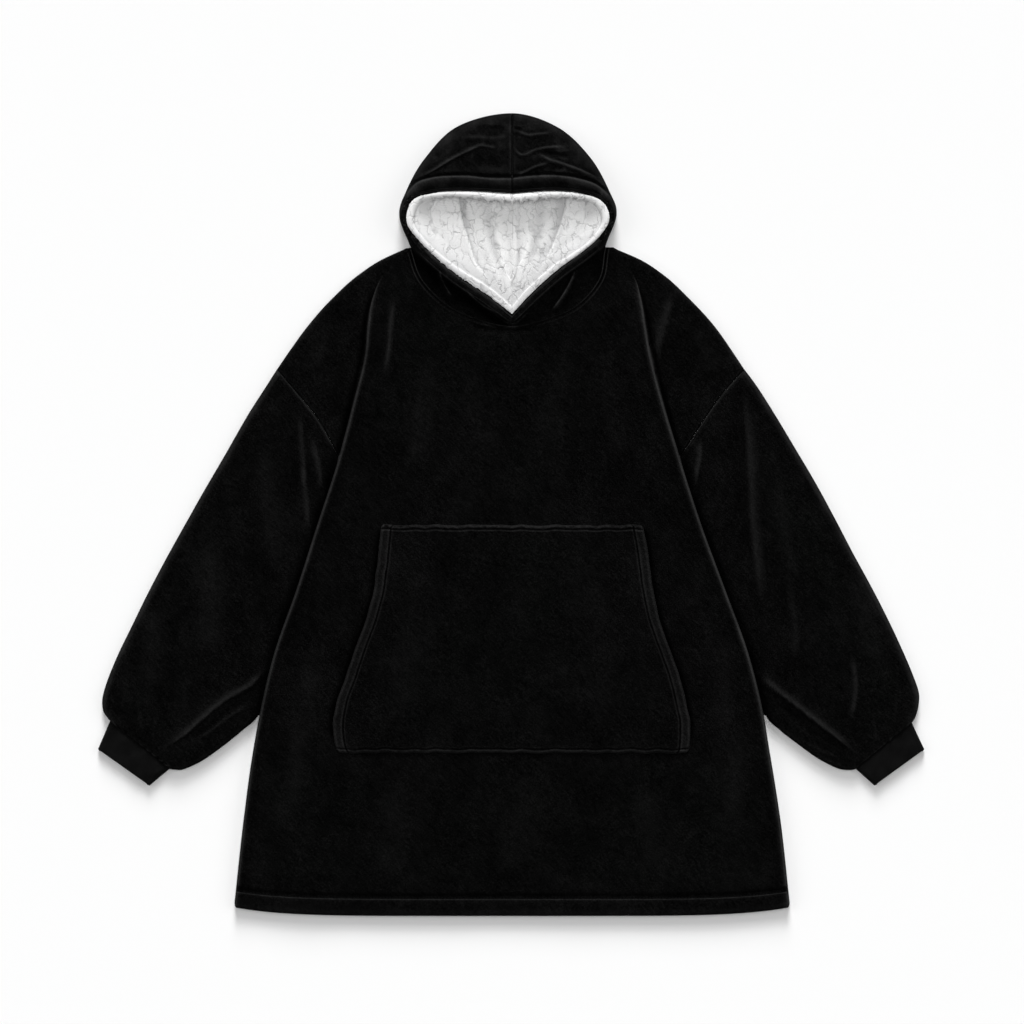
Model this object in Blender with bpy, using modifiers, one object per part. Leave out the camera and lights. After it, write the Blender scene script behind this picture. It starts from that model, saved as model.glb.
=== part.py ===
# A hooded pullover of plush with a sherpa lining in its hood, laid flat on its back.
# X runs across the chest, Y from the hem to the hood, Z up from the surface it lies on.
# Left is at -X and right at +X, as seen from above.
import bpy
import bmesh
import numpy as np

# Driving dimensions, in millimetres. MM turns them into the metres of the model.
MM = 0.001
GAP = 0.3                   # between two pieces at a seam
BODY_WALL = 5.0             # plush and pile bonded together
CUFF_WALL = 3.0
HOOD_WALL = 2.5
LINING_WALL = 4.0
POCKET_WALL = 3.0
POCKET_HEM_WALL = 4.2       # the same cloth turned over at the side openings
HEM_Y = -521.0              # middle of the bottom hem
HEM_RISE = 14.0             # how much higher the hem's corners lie
HEM_CORNER = 5.0            # how far a corner of the hem is rounded off
HALF_HEM = 360.0
HEM_ROWS = (2.5, 7.0, 14.0, 24.0)   # rows of points over the rounded edge of the hem
LEVEL_Y = -300.0            # rows of points above it are level, and bend with the hem below it
SEAM_LEG = 4.0              # upright height of a front panel's edge on the back panel
PANEL_TOP = 12.0            # top of the front panel where it lies flat
EDGE_ROLL = 14.0            # how far in from an edge the cloth has rolled up to its height
FOLD_RAISE = 5.5            # how far the fold along the body's side stands above the panel
FOLD_WIDTH = 11.0
FOLD_DEPTH = 9.0            # how far in from the body's edge its crest lies
FOLD_END_Y = 300.0          # where it has sunk into the shoulder
FOLD_FADE = 60.0            # over this length below it
HEM_FADE = 30.0             # and over this length above the hem
SHOULDER_TOP = 11.5         # top of the dropped shoulder, beside that fold
SHOULDER_STEP = 6.0         # width of the step from the shoulder up to that fold
SIDE_COLUMNS = (0, 0, 2.5, 7, 14, 26, 42)   # columns of points inwards from the body's edge
SIDE_ROOM = 60.0            # they draw together where the pocket's line is nearer than this
RIM_COLUMNS = (0, 0, 2.5, 8, 16)            # the same from the shoulder's outer edge
RIM_ROOM = 40.0
TOP_SLOPE = 0.75            # distance square to the shoulder's top edge, for each of x
ARMPIT_Y = 74.0             # where the armhole seam runs under the body's side
NOTCH_Y = 188.0             # outer end of the armhole seam
NOTCH_EASE = 1.2            # extra room under the shoulder's edge beside that end
NOTCH_REACH = 30.0
POCKET_TOP = -16.0
POCKET_BOTTOM = -309.0
BACK_NECK_Y = 322.0         # middle of the back neck
BACK_NECK_RISE = 16.0
BACK_NECK_HALF = 131.0
BACK_SHARES = (1, 0.8, 0.5, 0.25, 0)        # columns of points from the edge to the middle
NECK_SHARES = (0.7, 0.35, 0)
SLEEVE_CLEARANCE = 0.8      # between a sleeve and the body's side beside it
LINING_FLOOR = 7.4          # the lining's upper face where it lies on the hood's back
LINING_STEP = 2.5           # how much higher it lies on the back panel
LINING_STEP_Y = 400.0       # it rises over this length below this height
LINING_STEP_LENGTH = 60.0
LINING_FOCUS_Y = 345.0      # the lining's sections all run towards this point of the middle
LINING_LOW_Y = 286.0        # where they end on the middle line, from the neck to the forehead
LINING_HIGH_Y = 402.0

# Edge of the body on each side, where its cloth folds under, with the line of the pocket's side.
BODY_TABLE = (
    # y, left edge, right edge, left pocket line, right pocket line
    (-521, 358, 359, 235, 235),
    (-400, 348, 351, 234, 234),
    (-309, 336, 336, 228, 230),
    (-250, 326, 325, 229, 229),
    (-180, 309, 307, 206, 207),
    (-100, 281, 278, 180, 185),
    (-16, 254, 247, 170, 170),
    (74, 225, 218, 150, 150),
    (150, 205, 195, 122, 118),
    (210, 191, 180, 98, 96),
    (245, 188, 174, 92, 90),
    (275, 183, 169, 135, 130),
    (310, 168, 158, 142, 136),
    (346, 135, 132, 133, 129),
)
# Outer edge of the dropped shoulder: up the armhole seam to its notch, then along the shoulder.
SHOULDER_TABLE = (
    # y, left x, right x
    (74, 225, 218),
    (98, 237.5, 234),
    (122, 251, 249),
    (156, 277, 271.5),
    (188, 302.5, 299),
    (213, 286, 287),
    (247, 262.5, 264),
    (280, 234, 232.5),
    (313, 196.5, 196.5),
    (330, 169, 165.5),
    (346, 134, 131),
)
# Sections of the hood's opening, from the point of the neck round to the middle of the forehead.
HOOD_TABLE = (
    # left rim x, y, left outline x, y, right rim x, y, right outline x, y, rim height
    (0, 258.7, 0, 244.7, 0, 258.7, 0, 244.7, 15),
    (32, 283.5, 45.5, 254, 29, 289, 44, 253.5, 18),
    (66, 306, 83.5, 272, 62, 318, 84, 272, 21),
    (97.5, 331, 117, 306, 92, 340, 113, 306, 23),
    (122, 355.5, 131, 346, 114, 359.5, 125, 346, 25),
    (138.5, 380, 146.5, 387, 128, 383, 136, 389, 27),
    (130.5, 408, 138, 419, 119.6, 405.6, 127, 419, 29),
    (100, 420, 112, 462, 95, 418, 102, 463, 32),
    (55, 422.3, 65, 503, 53, 422.5, 59, 502, 34),
    (0, 418.6, 0, 521, 0, 418.6, 0, 521, 34),
)
# Rows of points up the body: the front's below its neck, and those of the back above them.
PLAIN_ROWS = (-470, -430, -390, -350, POCKET_BOTTOM, -285, -250, -210, -165, -120, -75, -38,
              POCKET_TOP, 25, 55, ARMPIT_Y, 98, 122, 156, NOTCH_Y, 213, 230)
BACK_TOP_ROWS = (247, 280, 310)
NECK_SECTIONS = (0, 0.5, 1, 1.5, 2, 2.5, 3, 3.5, 3.9)
NECK_MIDDLE = 0.1           # one more row of the front, beside the middle of the neck
CROWN_SECTIONS = (4.35, 4.7, 5.1, 5.5, 6, 6.5, 7, 7.5, 8, 8.5, 9)
# Sections across a sleeve, from the armhole to the cuff. An inner y alone means the body's side.
SLEEVE_TABLE = (
    # left outer x, y, left inner x, y, right outer x, y, right inner x, y, crown height
    (302.5, 188, None, 74, 299, 188, None, 74, 11.5),
    (319, 164, None, 52, 316, 167, None, 52, 13),
    (342, 128, None, 18, 340, 130, None, 18, 14),
    (370, 79, None, -26, 367, 85, None, -26, 15),
    (398, 31, None, -75, 393, 41, None, -75, 15),
    (425, -16, None, -125, 418, -4, None, -125, 15),
    (450, -62, None, -175, 443, -51, None, -175, 15),
    (472, -105, None, -220, 467, -94, None, -220, 15),
    (493, -146, 330, -262, 488, -134, 330, -262, 15),
    (511, -182, 350, -281, 506, -172, 347, -280, 15),
    (525, -216, 376, -302, 520, -207, 370, -298, 15),
    (531.5, -240, 403, -321, 527.5, -232, 398, -318, 15),
    (531.5, -256, 427, -332, 528.5, -250, 424, -331, 14),
    (526, -265, 439, -332.5, 524.5, -264, 440, -333, 13),
    (521.3, -270.4, 445.5, -331.5, 520, -271.7, 447.2, -331.5, 12),
)
CUFF_TABLE = (
    # left outer x, y, left inner x, y, right outer x, y, right inner x, y
    (521.3, -270.4, 445.5, -331.5, 520, -271.7, 447.2, -331.5),
    (535.5, -304.2, 470.6, -351, 535.5, -304.2, 470.6, -351),
)
CUFF_SECTIONS = (
    # share of its length, distance off the sleeve's seam, height, radius of its edges
    (0, GAP, 10.5, 4.8),
    (0, 4, 10.8, 4.8),
    (0.45, 4, 10.4, 4.7),
    (0.85, 1.5, 10, 4.6),
    (1, 0, 9.4, 4.5),
)
# Points across a sleeve and a cuff, over them and below them.
SLEEVE_OVER = (0, 0.06, 0.16, 0.27, 0.38, 0.49, 0.6, 0.7, 0.79, 0.87, 0.94, 1)
SLEEVE_UNDER = (0.75, 0.5, 0.25)
CUFF_OVER = (0, 0.12, 0.3, 0.5, 0.7, 0.88, 1)
CUFF_UNDER = (0.67, 0.33)
SLEEVE_EDGE = 6.6           # greatest radius of a sleeve's edges
TUBE_FADE = 25.0            # folds fade out this far from the edges of a sleeve
# Profile of the hood's crown, from the rim over to its outline: share of the way, share of the
# rim's height, and added height in millimetres.
CROWN_PROFILE = (
    (0, 1, 0),
    (0.12, 1.02, 2.4),
    (0.3, 1, 4),
    (0.5, 0.96, 4),
    (0.7, 0.88, 3.2),
    (0.86, 0.74, 1.6),
    (0.96, 0.56, 0),
    (1, 0.34, 0),
    (0.97, 0.13, 0),
)
CROWN_ROOM = 60.0           # the added height shrinks where the crown is narrower than this
# The same at the neck: share of the way and share of the fall down to the seam.
NECK_PROFILE = (
    (0, 1),
    (0.15, 1.03),
    (0.35, 0.95),
    (0.55, 0.75),
    (0.72, 0.45),
    (0.88, 0.15),
    (1, 0),
    (1, 0),
    (1, 0),
)
HOOD_SEAM_TOP = 11.0        # the hood's height at the neck seam
HOOD_BACK_HALF = 118.0      # half width of the hood's back at the back neck
HOOD_BACK_RISE = 21.0
HOOD_BACK_GAP = 0.75        # to the back panel, which curves away from it
HOOD_TURN = 9.0             # how far the hood's back starts inside its outline
HOOD_BACK_SHARES = (0.45, 1)
# Profile of the lining, from the rim inwards: distance, share of it that a broad crown pulls
# back, and drop below the rim in millimetres with its limit as a share of the depth.
LINING_TOP = (
    (4.6, 0, 0, 0),
    (5.2, 0, 8, 0.45),
    (6.5, 0.6, 10.5, 0.62),
)
# Below that: distance, the same share, and height over the floor as a share of the depth.
LINING_WALL_PROFILE = (
    (9, 1, 0.35),
    (12.5, 1, 0.15),
    (19, 0.85, 0.02),
)
LINING_RECESS = 0.6         # how far the crown's lining is pulled back, for each extra width
LINING_RECESS_FROM = 22.0   # of the crown over this
RIM_PROBE = 0.25            # step along the rim's sections for its direction
LINING_SQUARE = 0.6         # least share of the lining's distance from the rim that is square to it
LINING_SHARES = (0.18, 0.36, 0.54, 0.72, 0.87, 1)
# Soft folds raised in the cloth: the ends of each one's crest, its half width and its height.
BODY_FOLDS = (
    # x, y, to x, to y, half width, height
    (-155, 273, -164, 170, 9, 3.5),
    (209, 290, 187, 190, 10, 3.5),
    (-110, 190, -135, 60, 26, 2.5),
    (120, 180, 140, 70, 26, 2.5),
    (-40, 200, -60, 20, 30, 1.5),
    (60, 210, 52, 30, 28, 1.5),
    (-262, -150, -290, -420, 20, 2.5),
    (268, -140, 292, -430, 22, 2.5),
    (-150, -340, -160, -470, 30, 2),
    (20, -330, 10, -470, 34, 2),
    (170, -340, 185, -480, 28, 2),
)
LEFT_SLEEVE_FOLDS = (
    (-316, -196, -376, -247, 11, 6),
    (-376, -247, -456, -303, 11, 6),
    (-325, -238, -417, -299, 9, -3),
    (-270, 48, -264, -40, 12, 3),
    (-300, 120, -262, 18, 12, 3),
    (-330, 90, -300, -70, 22, 2.5),
    (-400, -40, -395, -190, 26, 3),
    (-460, -110, -470, -230, 20, 2.5),
    (-505, -200, -500, -262, 9, 2),
    (-478, -240, -478, -284, 8, 2.5),
)
RIGHT_SLEEVE_FOLDS = (
    (316, -208, 398, -272, 11, 6),
    (398, -272, 452, -315, 11, 6),
    (360, -283, 431, -320, 9, -3),
    (306, 160, 314, 30, 11, 3.5),
    (314, 30, 330, -145, 11, 3.5),
    (246, 88, 236, 26, 10, 3),
    (361, -95, 370, -182, 14, 3),
    (444, -198, 440, -266, 10, 3),
    (470, -110, 480, -220, 20, 2.5),
    (500, -215, 490, -275, 8, 2),
)
HOOD_FOLDS = (
    (-125, 439, -77, 462, 8, 3),
    (-77, 462, -41, 480, 8, 3),
    (34, 470, 68, 458, 7, 3),
    (68, 458, 119, 430, 7, 3),
    (0, 441, 49, 456, 8, 2.5),
)
# Folds of the lining, where the sides of the hood lie over its back.
LINING_FOLDS = (
    # x, y, to x, to y, half width, height
    (-74, 405, -52, 340, 15, 6),
    (-52, 340, -24, 280, 12, 5),
    (78, 405, 56, 345, 15, 6),
    (56, 345, 30, 285, 12, 5),
)
MERGE = 0.02                # points nearer than this are one
POCKET_SIDE = 2.0           # points nearer than this to the pocket's side belong to its hem
CLOTH = (
    # name, colour, roughness
    ("plush_black", (0.006, 0.006, 0.007, 1.0), 0.95),
    ("rib_black", (0.009, 0.009, 0.010, 1.0), 0.85),
    ("sherpa_white", (0.80, 0.79, 0.77, 1.0), 1.0),
)

LEFT, RIGHT = -1, 1


def clear_scene():
    for old in list(bpy.data.objects):
        bpy.data.objects.remove(old, do_unlink=True)


def smooth_curve(stations, values, at, level=False):
    # A curve through the values, with the slope at each station taken from its neighbours.
    # A level curve has no slope at its first and last station.
    stations = np.asarray(stations, float)
    values = np.asarray(values, float)
    slopes = np.gradient(values, stations)
    if level:
        slopes[[0, -1]] = 0
    at = np.clip(np.asarray(at, float), stations[0], stations[-1])
    i = np.clip(np.searchsorted(stations, at, side="right") - 1, 0, len(stations) - 2)
    step = stations[i + 1] - stations[i]
    t = (at - stations[i]) / step
    rise = t * t * (3 - 2 * t)
    lead = t * (1 - t) ** 2 * slopes[i]
    trail = -t * t * (1 - t) * slopes[i + 1]
    return values[i] * (1 - rise) + values[i + 1] * rise + step * (lead + trail)


def column(table, index):
    return np.array([row[index] for row in table], float)


def body_edge(side, y):
    return smooth_curve(column(BODY_TABLE, 0), column(BODY_TABLE, 1 if side == LEFT else 2), y)


def pocket_line(side, y):
    return smooth_curve(column(BODY_TABLE, 0), column(BODY_TABLE, 3 if side == LEFT else 4), y)


def shoulder_edge(side, y):
    return np.interp(y, column(SHOULDER_TABLE, 0), column(SHOULDER_TABLE, 1 if side == LEFT else 2))


def hood_curve(side, which, a):
    # The rim or the outline of the hood at section a, as distance from the middle and y.
    first = (0 if side == LEFT else 4) + (0 if which == "rim" else 2)
    stations = np.arange(len(HOOD_TABLE))
    x = smooth_curve(stations, column(HOOD_TABLE, first), a)
    y = smooth_curve(stations, column(HOOD_TABLE, first + 1), a, level=which == "outline")
    return x, y


def rim_height(a):
    return smooth_curve(np.arange(len(HOOD_TABLE)), column(HOOD_TABLE, 8), a)


def folds(table, x, y):
    # Each fold is a soft bank: its height falls off with the distance from its crest line.
    rise = np.zeros_like(x)
    for x0, y0, x1, y1, half_width, height in table:
        length = np.hypot(x1 - x0, y1 - y0)
        ux, uy = (x1 - x0) / length, (y1 - y0) / length
        along = np.clip((x - x0) * ux + (y - y0) * uy, 0, length)
        away = np.hypot(x - x0 - along * ux, y - y0 - along * uy)
        rise = rise + height * np.exp(-(away / half_width) ** 2)
    return rise


def roll(distance, width):
    # A quarter of an ellipse, from 0 at the edge to 1 at the width.
    t = np.clip(distance / width, 0, 1)
    return np.sqrt(1 - (1 - t) ** 2)


def hem_lift(x, y):
    # The hem rises towards its corners with the cube of x, and the rows above it less and less.
    share = np.clip((LEVEL_Y - y) / (LEVEL_Y - HEM_Y), 0, 1)
    return HEM_RISE * np.abs(x / HALF_HEM) ** 3 * share


def material(name):
    made = bpy.data.materials.get(name)
    if made:
        return made
    colour, roughness = next((c, r) for n, c, r in CLOTH if n == name)
    made = bpy.data.materials.new(name)
    made.use_nodes = True
    shader = made.node_tree.nodes["Principled BSDF"]
    shader.inputs["Base Color"].default_value = colour
    shader.inputs["Roughness"].default_value = roughness
    shader.inputs["Metallic"].default_value = 0.0
    return made


def add_grid(mesh, points, closed=False):
    # Triangles over a grid of points; closed joins its last column to its first.
    rows, columns = points.shape[:2]
    verts = [[mesh.verts.new(p * MM) for p in row] for row in points]
    for i in range(rows - 1):
        for j in range(columns if closed else columns - 1):
            k = (j + 1) % columns
            corners = (verts[i][j], verts[i][k], verts[i + 1][k], verts[i + 1][j])
            mesh.faces.new((corners[0], corners[1], corners[2]))
            mesh.faces.new((corners[0], corners[2], corners[3]))


def cloth_object(name, grids, wall, cloth, collection, closed=False, outward=False, weights=None,
                 even=True):
    # An open surface of cloth with its outer side out, given its wall by Solidify.
    mesh = bmesh.new()
    for grid in grids:
        add_grid(mesh, grid, closed)
    bmesh.ops.remove_doubles(mesh, verts=mesh.verts, dist=MERGE * MM)
    data = bpy.data.meshes.new(name)
    mesh.to_mesh(data)
    mesh.free()
    data.materials.append(material(cloth))
    made = bpy.data.objects.new(name, data)
    collection.objects.link(made)
    solid = made.modifiers.new("Wall", "SOLIDIFY")
    solid.thickness = wall * MM
    solid.offset = 1.0 if outward else -1.0
    solid.use_even_offset = even
    if weights:
        group = made.vertex_groups.new(name="thin")
        for vertex in data.vertices:
            group.add([vertex.index], weights(vertex.co / MM), "REPLACE")
        solid.vertex_group = "thin"
    return made


def body_rows(side):
    # Rows from the hem to the neck: nominal y, distance above the hem, and the neck's x or 0.
    hem = [(HEM_Y, 0, 0), (HEM_Y, 0, 0)]
    hem += [(HEM_Y + d, d, 0) for d in HEM_ROWS]
    plain = [(y, y - HEM_Y, 0) for y in PLAIN_ROWS]
    x, y = hood_curve(side, "outline", sorted(NECK_SECTIONS + (NECK_MIDDLE,)))
    neck = [(b - GAP, b - HEM_Y, a + GAP * (a > 0)) for a, b in zip(x, y)]
    return hem + plain + neck


def front_half(side):
    # Columns of points from the body's edge to its middle or the neck, and, above the armpit, those
    # of the dropped shoulder outside that edge.
    main, outer = [], []
    rows = body_rows(side)
    under = BODY_WALL + GAP
    low = under + SEAM_LEG
    for index, (y, above_hem, neck_x) in enumerate(rows):
        edge = float(body_edge(side, y))
        edge -= HEM_CORNER * max(0, 1 - above_hem / HEM_CORNER) ** 2
        line = float(pocket_line(side, y))
        steps = np.array(SIDE_COLUMNS) * min(1, (edge - line) / SIDE_ROOM)
        x = np.concatenate([edge - steps, line + (neck_x - line) * np.linspace(0, 1, 6)])
        depth = edge - x
        under_arm = y <= ARMPIT_Y
        fade = np.clip((FOLD_END_Y - y) / FOLD_FADE, 0, 1) * np.clip(above_hem / HEM_FADE, 0.3, 1)
        top = PANEL_TOP + FOLD_RAISE * fade * np.exp(-((depth - FOLD_DEPTH) / FOLD_WIDTH) ** 2)
        lift = hem_lift(x, y)
        top = top + folds(BODY_FOLDS, side * x, y + lift)
        if under_arm:
            z = low + (top - low) * roll(depth, EDGE_ROLL)
            z[0] = under
        else:
            step = np.clip(depth / SHOULDER_STEP, 0, 1)
            z = SHOULDER_TOP + (top - SHOULDER_TOP) * step * step * (3 - 2 * step)
            z[:2] = SHOULDER_TOP
        z = low + (z - low) * roll(above_hem, EDGE_ROLL) if above_hem < EDGE_ROLL else z
        if index == 0:
            z[:] = under
        main.append(np.stack([side * x, y + lift, z], axis=1))
        if y < ARMPIT_Y:
            continue
        rim = float(shoulder_edge(side, y))
        slope = TOP_SLOPE if y > NOTCH_Y else 1.0
        inwards = np.array(RIM_COLUMNS) * min(1, (rim - edge) / RIM_ROOM) / slope
        last = rim - inwards[-1]
        out = np.concatenate([rim - inwards, [(last + edge) / 2, edge]])
        level = np.full(len(out), y)
        height = SHOULDER_TOP + folds(BODY_FOLDS, side * out, level)
        if y > NOTCH_Y:
            height = low + (height - low) * roll((rim - out) * slope, EDGE_ROLL)
            height[0] = under + NOTCH_EASE * (y < NOTCH_Y + NOTCH_REACH)
        height[-1] = SHOULDER_TOP
        outer.append(np.stack([side * out, level, height], axis=1))
    main, outer = np.array(main), np.array(outer)
    # The dropped shoulder starts as a point at the armpit, on the body's edge.
    start = len(main) - len(outer)
    main[start, :2, 2] = SHOULDER_TOP
    outer[0] = main[start, 0]
    if side == RIGHT:
        main, outer = main[:, ::-1], outer[:, ::-1]
    return main, outer


def pocket_grid(left, right):
    # The front's own points under the pocket, moved out by the gap at the seam.
    y = left[:, -1, 1]
    rows = (y > POCKET_BOTTOM - GAP) & (y < POCKET_TOP + GAP)
    first = len(SIDE_COLUMNS)
    grid = np.concatenate([left[rows][:, first:], right[rows][:, 1:-first]], axis=1)
    grid[..., 2] += GAP
    return grid


def back_grid():
    halves = []
    for side in (LEFT, RIGHT):
        rows = []
        for y in (HEM_Y,) + PLAIN_ROWS + BACK_TOP_ROWS:
            edge = float(shoulder_edge(side, y) if y > ARMPIT_Y else body_edge(side, y))
            edge -= HEM_CORNER if y == HEM_Y else 0
            x = edge * np.array(BACK_SHARES)
            rows.append(np.stack([x, y + hem_lift(x, y)], axis=1))
        top = float(shoulder_edge(side, BACK_NECK_Y + BACK_NECK_RISE))
        x = np.concatenate([[top, BACK_NECK_HALF], BACK_NECK_HALF * np.array(NECK_SHARES)])
        y = BACK_NECK_Y + BACK_NECK_RISE * np.minimum(1, x / BACK_NECK_HALF)
        rows.append(np.stack([x, y], axis=1))
        half = np.array(rows)
        half = np.concatenate([half, np.zeros(half.shape[:2] + (1,))], axis=2)
        half[..., 0] *= side
        halves.append(half if side == RIGHT else half[:, ::-1])
    return halves


def tube(outer, inner, crown, edge_radius, table, across, under):
    # A flattened tube: for each section, up round its outer edge, over the top and back below.
    rings = []
    for (ox, oy), (ix, iy), top, radius in zip(outer, inner, crown, edge_radius):
        width = np.hypot(ix - ox, iy - oy)
        ux, uy = (ix - ox) / width, (iy - oy) / width
        angles = np.radians([-90, -45, 0, 45])
        start = np.stack([radius * (1 - np.cos(angles)), radius * (1 + np.sin(angles))], axis=1)
        end = np.stack([width - start[::-1, 0], start[::-1, 1]], axis=1)
        middle = radius + (width - 2 * radius) * np.array(across)
        rise = 2 * radius + (top - 2 * radius) * np.sin(np.pi * np.array(across)) ** 0.6
        mx, my = ox + ux * middle, oy + uy * middle
        taper = np.clip(np.minimum(middle, width - middle) / TUBE_FADE, 0, 1)
        rise = rise + taper * folds(table, mx, my)
        over = np.stack([middle, rise], axis=1)
        below = radius + (width - 2 * radius) * np.array(under)
        flat = np.stack([below, np.zeros(len(under))], axis=1)
        ring = np.concatenate([start, over, end, flat])
        rings.append(np.stack([ox + ux * ring[:, 0], oy + uy * ring[:, 0], ring[:, 1]], axis=1))
    return np.array(rings)


def sleeve_grid(side):
    first = 0 if side == LEFT else 4
    outer = [(side * row[first], row[first + 1]) for row in SLEEVE_TABLE]
    inner = []
    for row in SLEEVE_TABLE:
        x, y = row[first + 2], row[first + 3]
        if x is None:
            x = float(body_edge(side, y)) + SLEEVE_CLEARANCE
        inner.append((side * x, y))
    crown = column(SLEEVE_TABLE, 8)
    radius = np.minimum(crown / 2, SLEEVE_EDGE)
    table = LEFT_SLEEVE_FOLDS if side == LEFT else RIGHT_SLEEVE_FOLDS
    rings = tube(outer, inner, crown, radius, table, SLEEVE_OVER, SLEEVE_UNDER)
    # The first ring lies along the armhole seam, a gap outside its straight runs.
    seam_y = column(SHOULDER_TABLE, 0)
    seam_y = seam_y[seam_y <= NOTCH_Y][::-1]
    seam_x = shoulder_edge(side, seam_y)
    run = np.concatenate([[0], np.cumsum(np.hypot(np.diff(seam_x), np.diff(seam_y)))])
    share = np.hypot(rings[0, :, 0] - outer[0][0], rings[0, :, 1] - outer[0][1])
    share = share / np.hypot(inner[0][0] - outer[0][0], inner[0][1] - outer[0][1]) * run[-1]
    across_seam = np.array([seam_y[0] - seam_y[-1], seam_x[-1] - seam_x[0]])
    across_seam = across_seam / np.hypot(*across_seam)
    rings[0, :, 0] = side * (np.interp(share, run, seam_x) + GAP * across_seam[0])
    rings[0, :, 1] = np.interp(share, run, seam_y) + GAP * across_seam[1]
    square = rings[0] + SEAM_LEG * np.array([side * across_seam[0], across_seam[1], 0])
    rings = np.insert(rings, 1, square, axis=0)
    return rings[:, ::-1] if side == LEFT else rings


def cuff_grid(side):
    first = 0 if side == LEFT else 4
    outer = np.array([(side * row[first], row[first + 1]) for row in CUFF_TABLE], float)
    inner = np.array([(side * row[first + 2], row[first + 3]) for row in CUFF_TABLE], float)
    line = (inner[0] - outer[0]) / np.hypot(*(inner[0] - outer[0]))
    away = side * np.array([-line[1], line[0]])
    outs, ins = [], []
    for share, step, _, _ in CUFF_SECTIONS:
        outs.append(outer[0] + (outer[1] - outer[0]) * share + away * step)
        ins.append(inner[0] + (inner[1] - inner[0]) * share + away * step)
    crown, radius = column(CUFF_SECTIONS, 2), column(CUFF_SECTIONS, 3)
    rings = tube(outs, ins, crown, radius, (), CUFF_OVER, CUFF_UNDER)
    return rings[:, ::-1] if side == LEFT else rings


def seam_strips(rows):
    # The first and last rows lie on the middle seam. A copy of each stands beside it, where there
    # is room, so that the wall is square to the seam.
    def beside(row, following):
        room = following[:, :1] - row[:, :1] > SEAM_LEG
        return row + room * np.array([SEAM_LEG, 0, 0])

    first = beside(rows[0], rows[1])
    last = beside(rows[-1], rows[-2])
    return [rows[0], first] + rows[1:-1] + [last, rows[-1]]


def hood_grid(side):
    rows = []
    for a in NECK_SECTIONS + CROWN_SECTIONS:
        rx, ry = (float(v) for v in hood_curve(side, "rim", a))
        ox, oy = (float(v) for v in hood_curve(side, "outline", a))
        height = float(rim_height(a))
        crown = a > NECK_SECTIONS[-1]
        width = np.hypot(ox - rx, oy - ry)
        if crown:
            share = column(CROWN_PROFILE, 0)
            z = height * column(CROWN_PROFILE, 1)
            z = z + column(CROWN_PROFILE, 2) * min(1, width / CROWN_ROOM)
        else:
            share = column(NECK_PROFILE, 0)
            z = HOOD_SEAM_TOP + (height - HOOD_SEAM_TOP) * column(NECK_PROFILE, 1)
        x = rx + (ox - rx) * share
        y = ry + (oy - ry) * share
        taper = np.clip(share * 4, 0, 1) * np.clip((0.9 - share) * 6, 0, 1)
        z = z + taper * folds(HOOD_FOLDS, side * x, y)
        if crown:
            along = (a - CROWN_SECTIONS[0]) / (CROWN_SECTIONS[-1] - CROWN_SECTIONS[0])
            tx = HOOD_BACK_HALF * (1 - along)
            ty = BACK_NECK_Y + HOOD_BACK_GAP + HOOD_BACK_RISE * (1 - along)
            turn = min(0.4, HOOD_TURN / np.hypot(ox - tx, oy - ty))
            share = np.concatenate([[turn], HOOD_BACK_SHARES])
            x = np.concatenate([x, ox + (tx - ox) * share])
            y = np.concatenate([y, oy + (ty - oy) * share])
            z = np.concatenate([z, np.zeros(3)])
        else:
            x = np.concatenate([x, np.full(3, x[-1])])
            y = np.concatenate([y, np.full(3, y[-1])])
            z = np.concatenate([z, np.full(3, z[-1])])
        x = np.maximum(x, GAP / 2)
        rows.append(np.stack([x, y, z], axis=1))
    grid = np.array(seam_strips(rows)) * np.array([side, 1, 1])
    return grid[:, ::-1] if side == LEFT else grid


def lining_floor(y):
    return LINING_FLOOR + LINING_STEP * np.clip((LINING_STEP_Y - y) / LINING_STEP_LENGTH, 0, 1)


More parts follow.
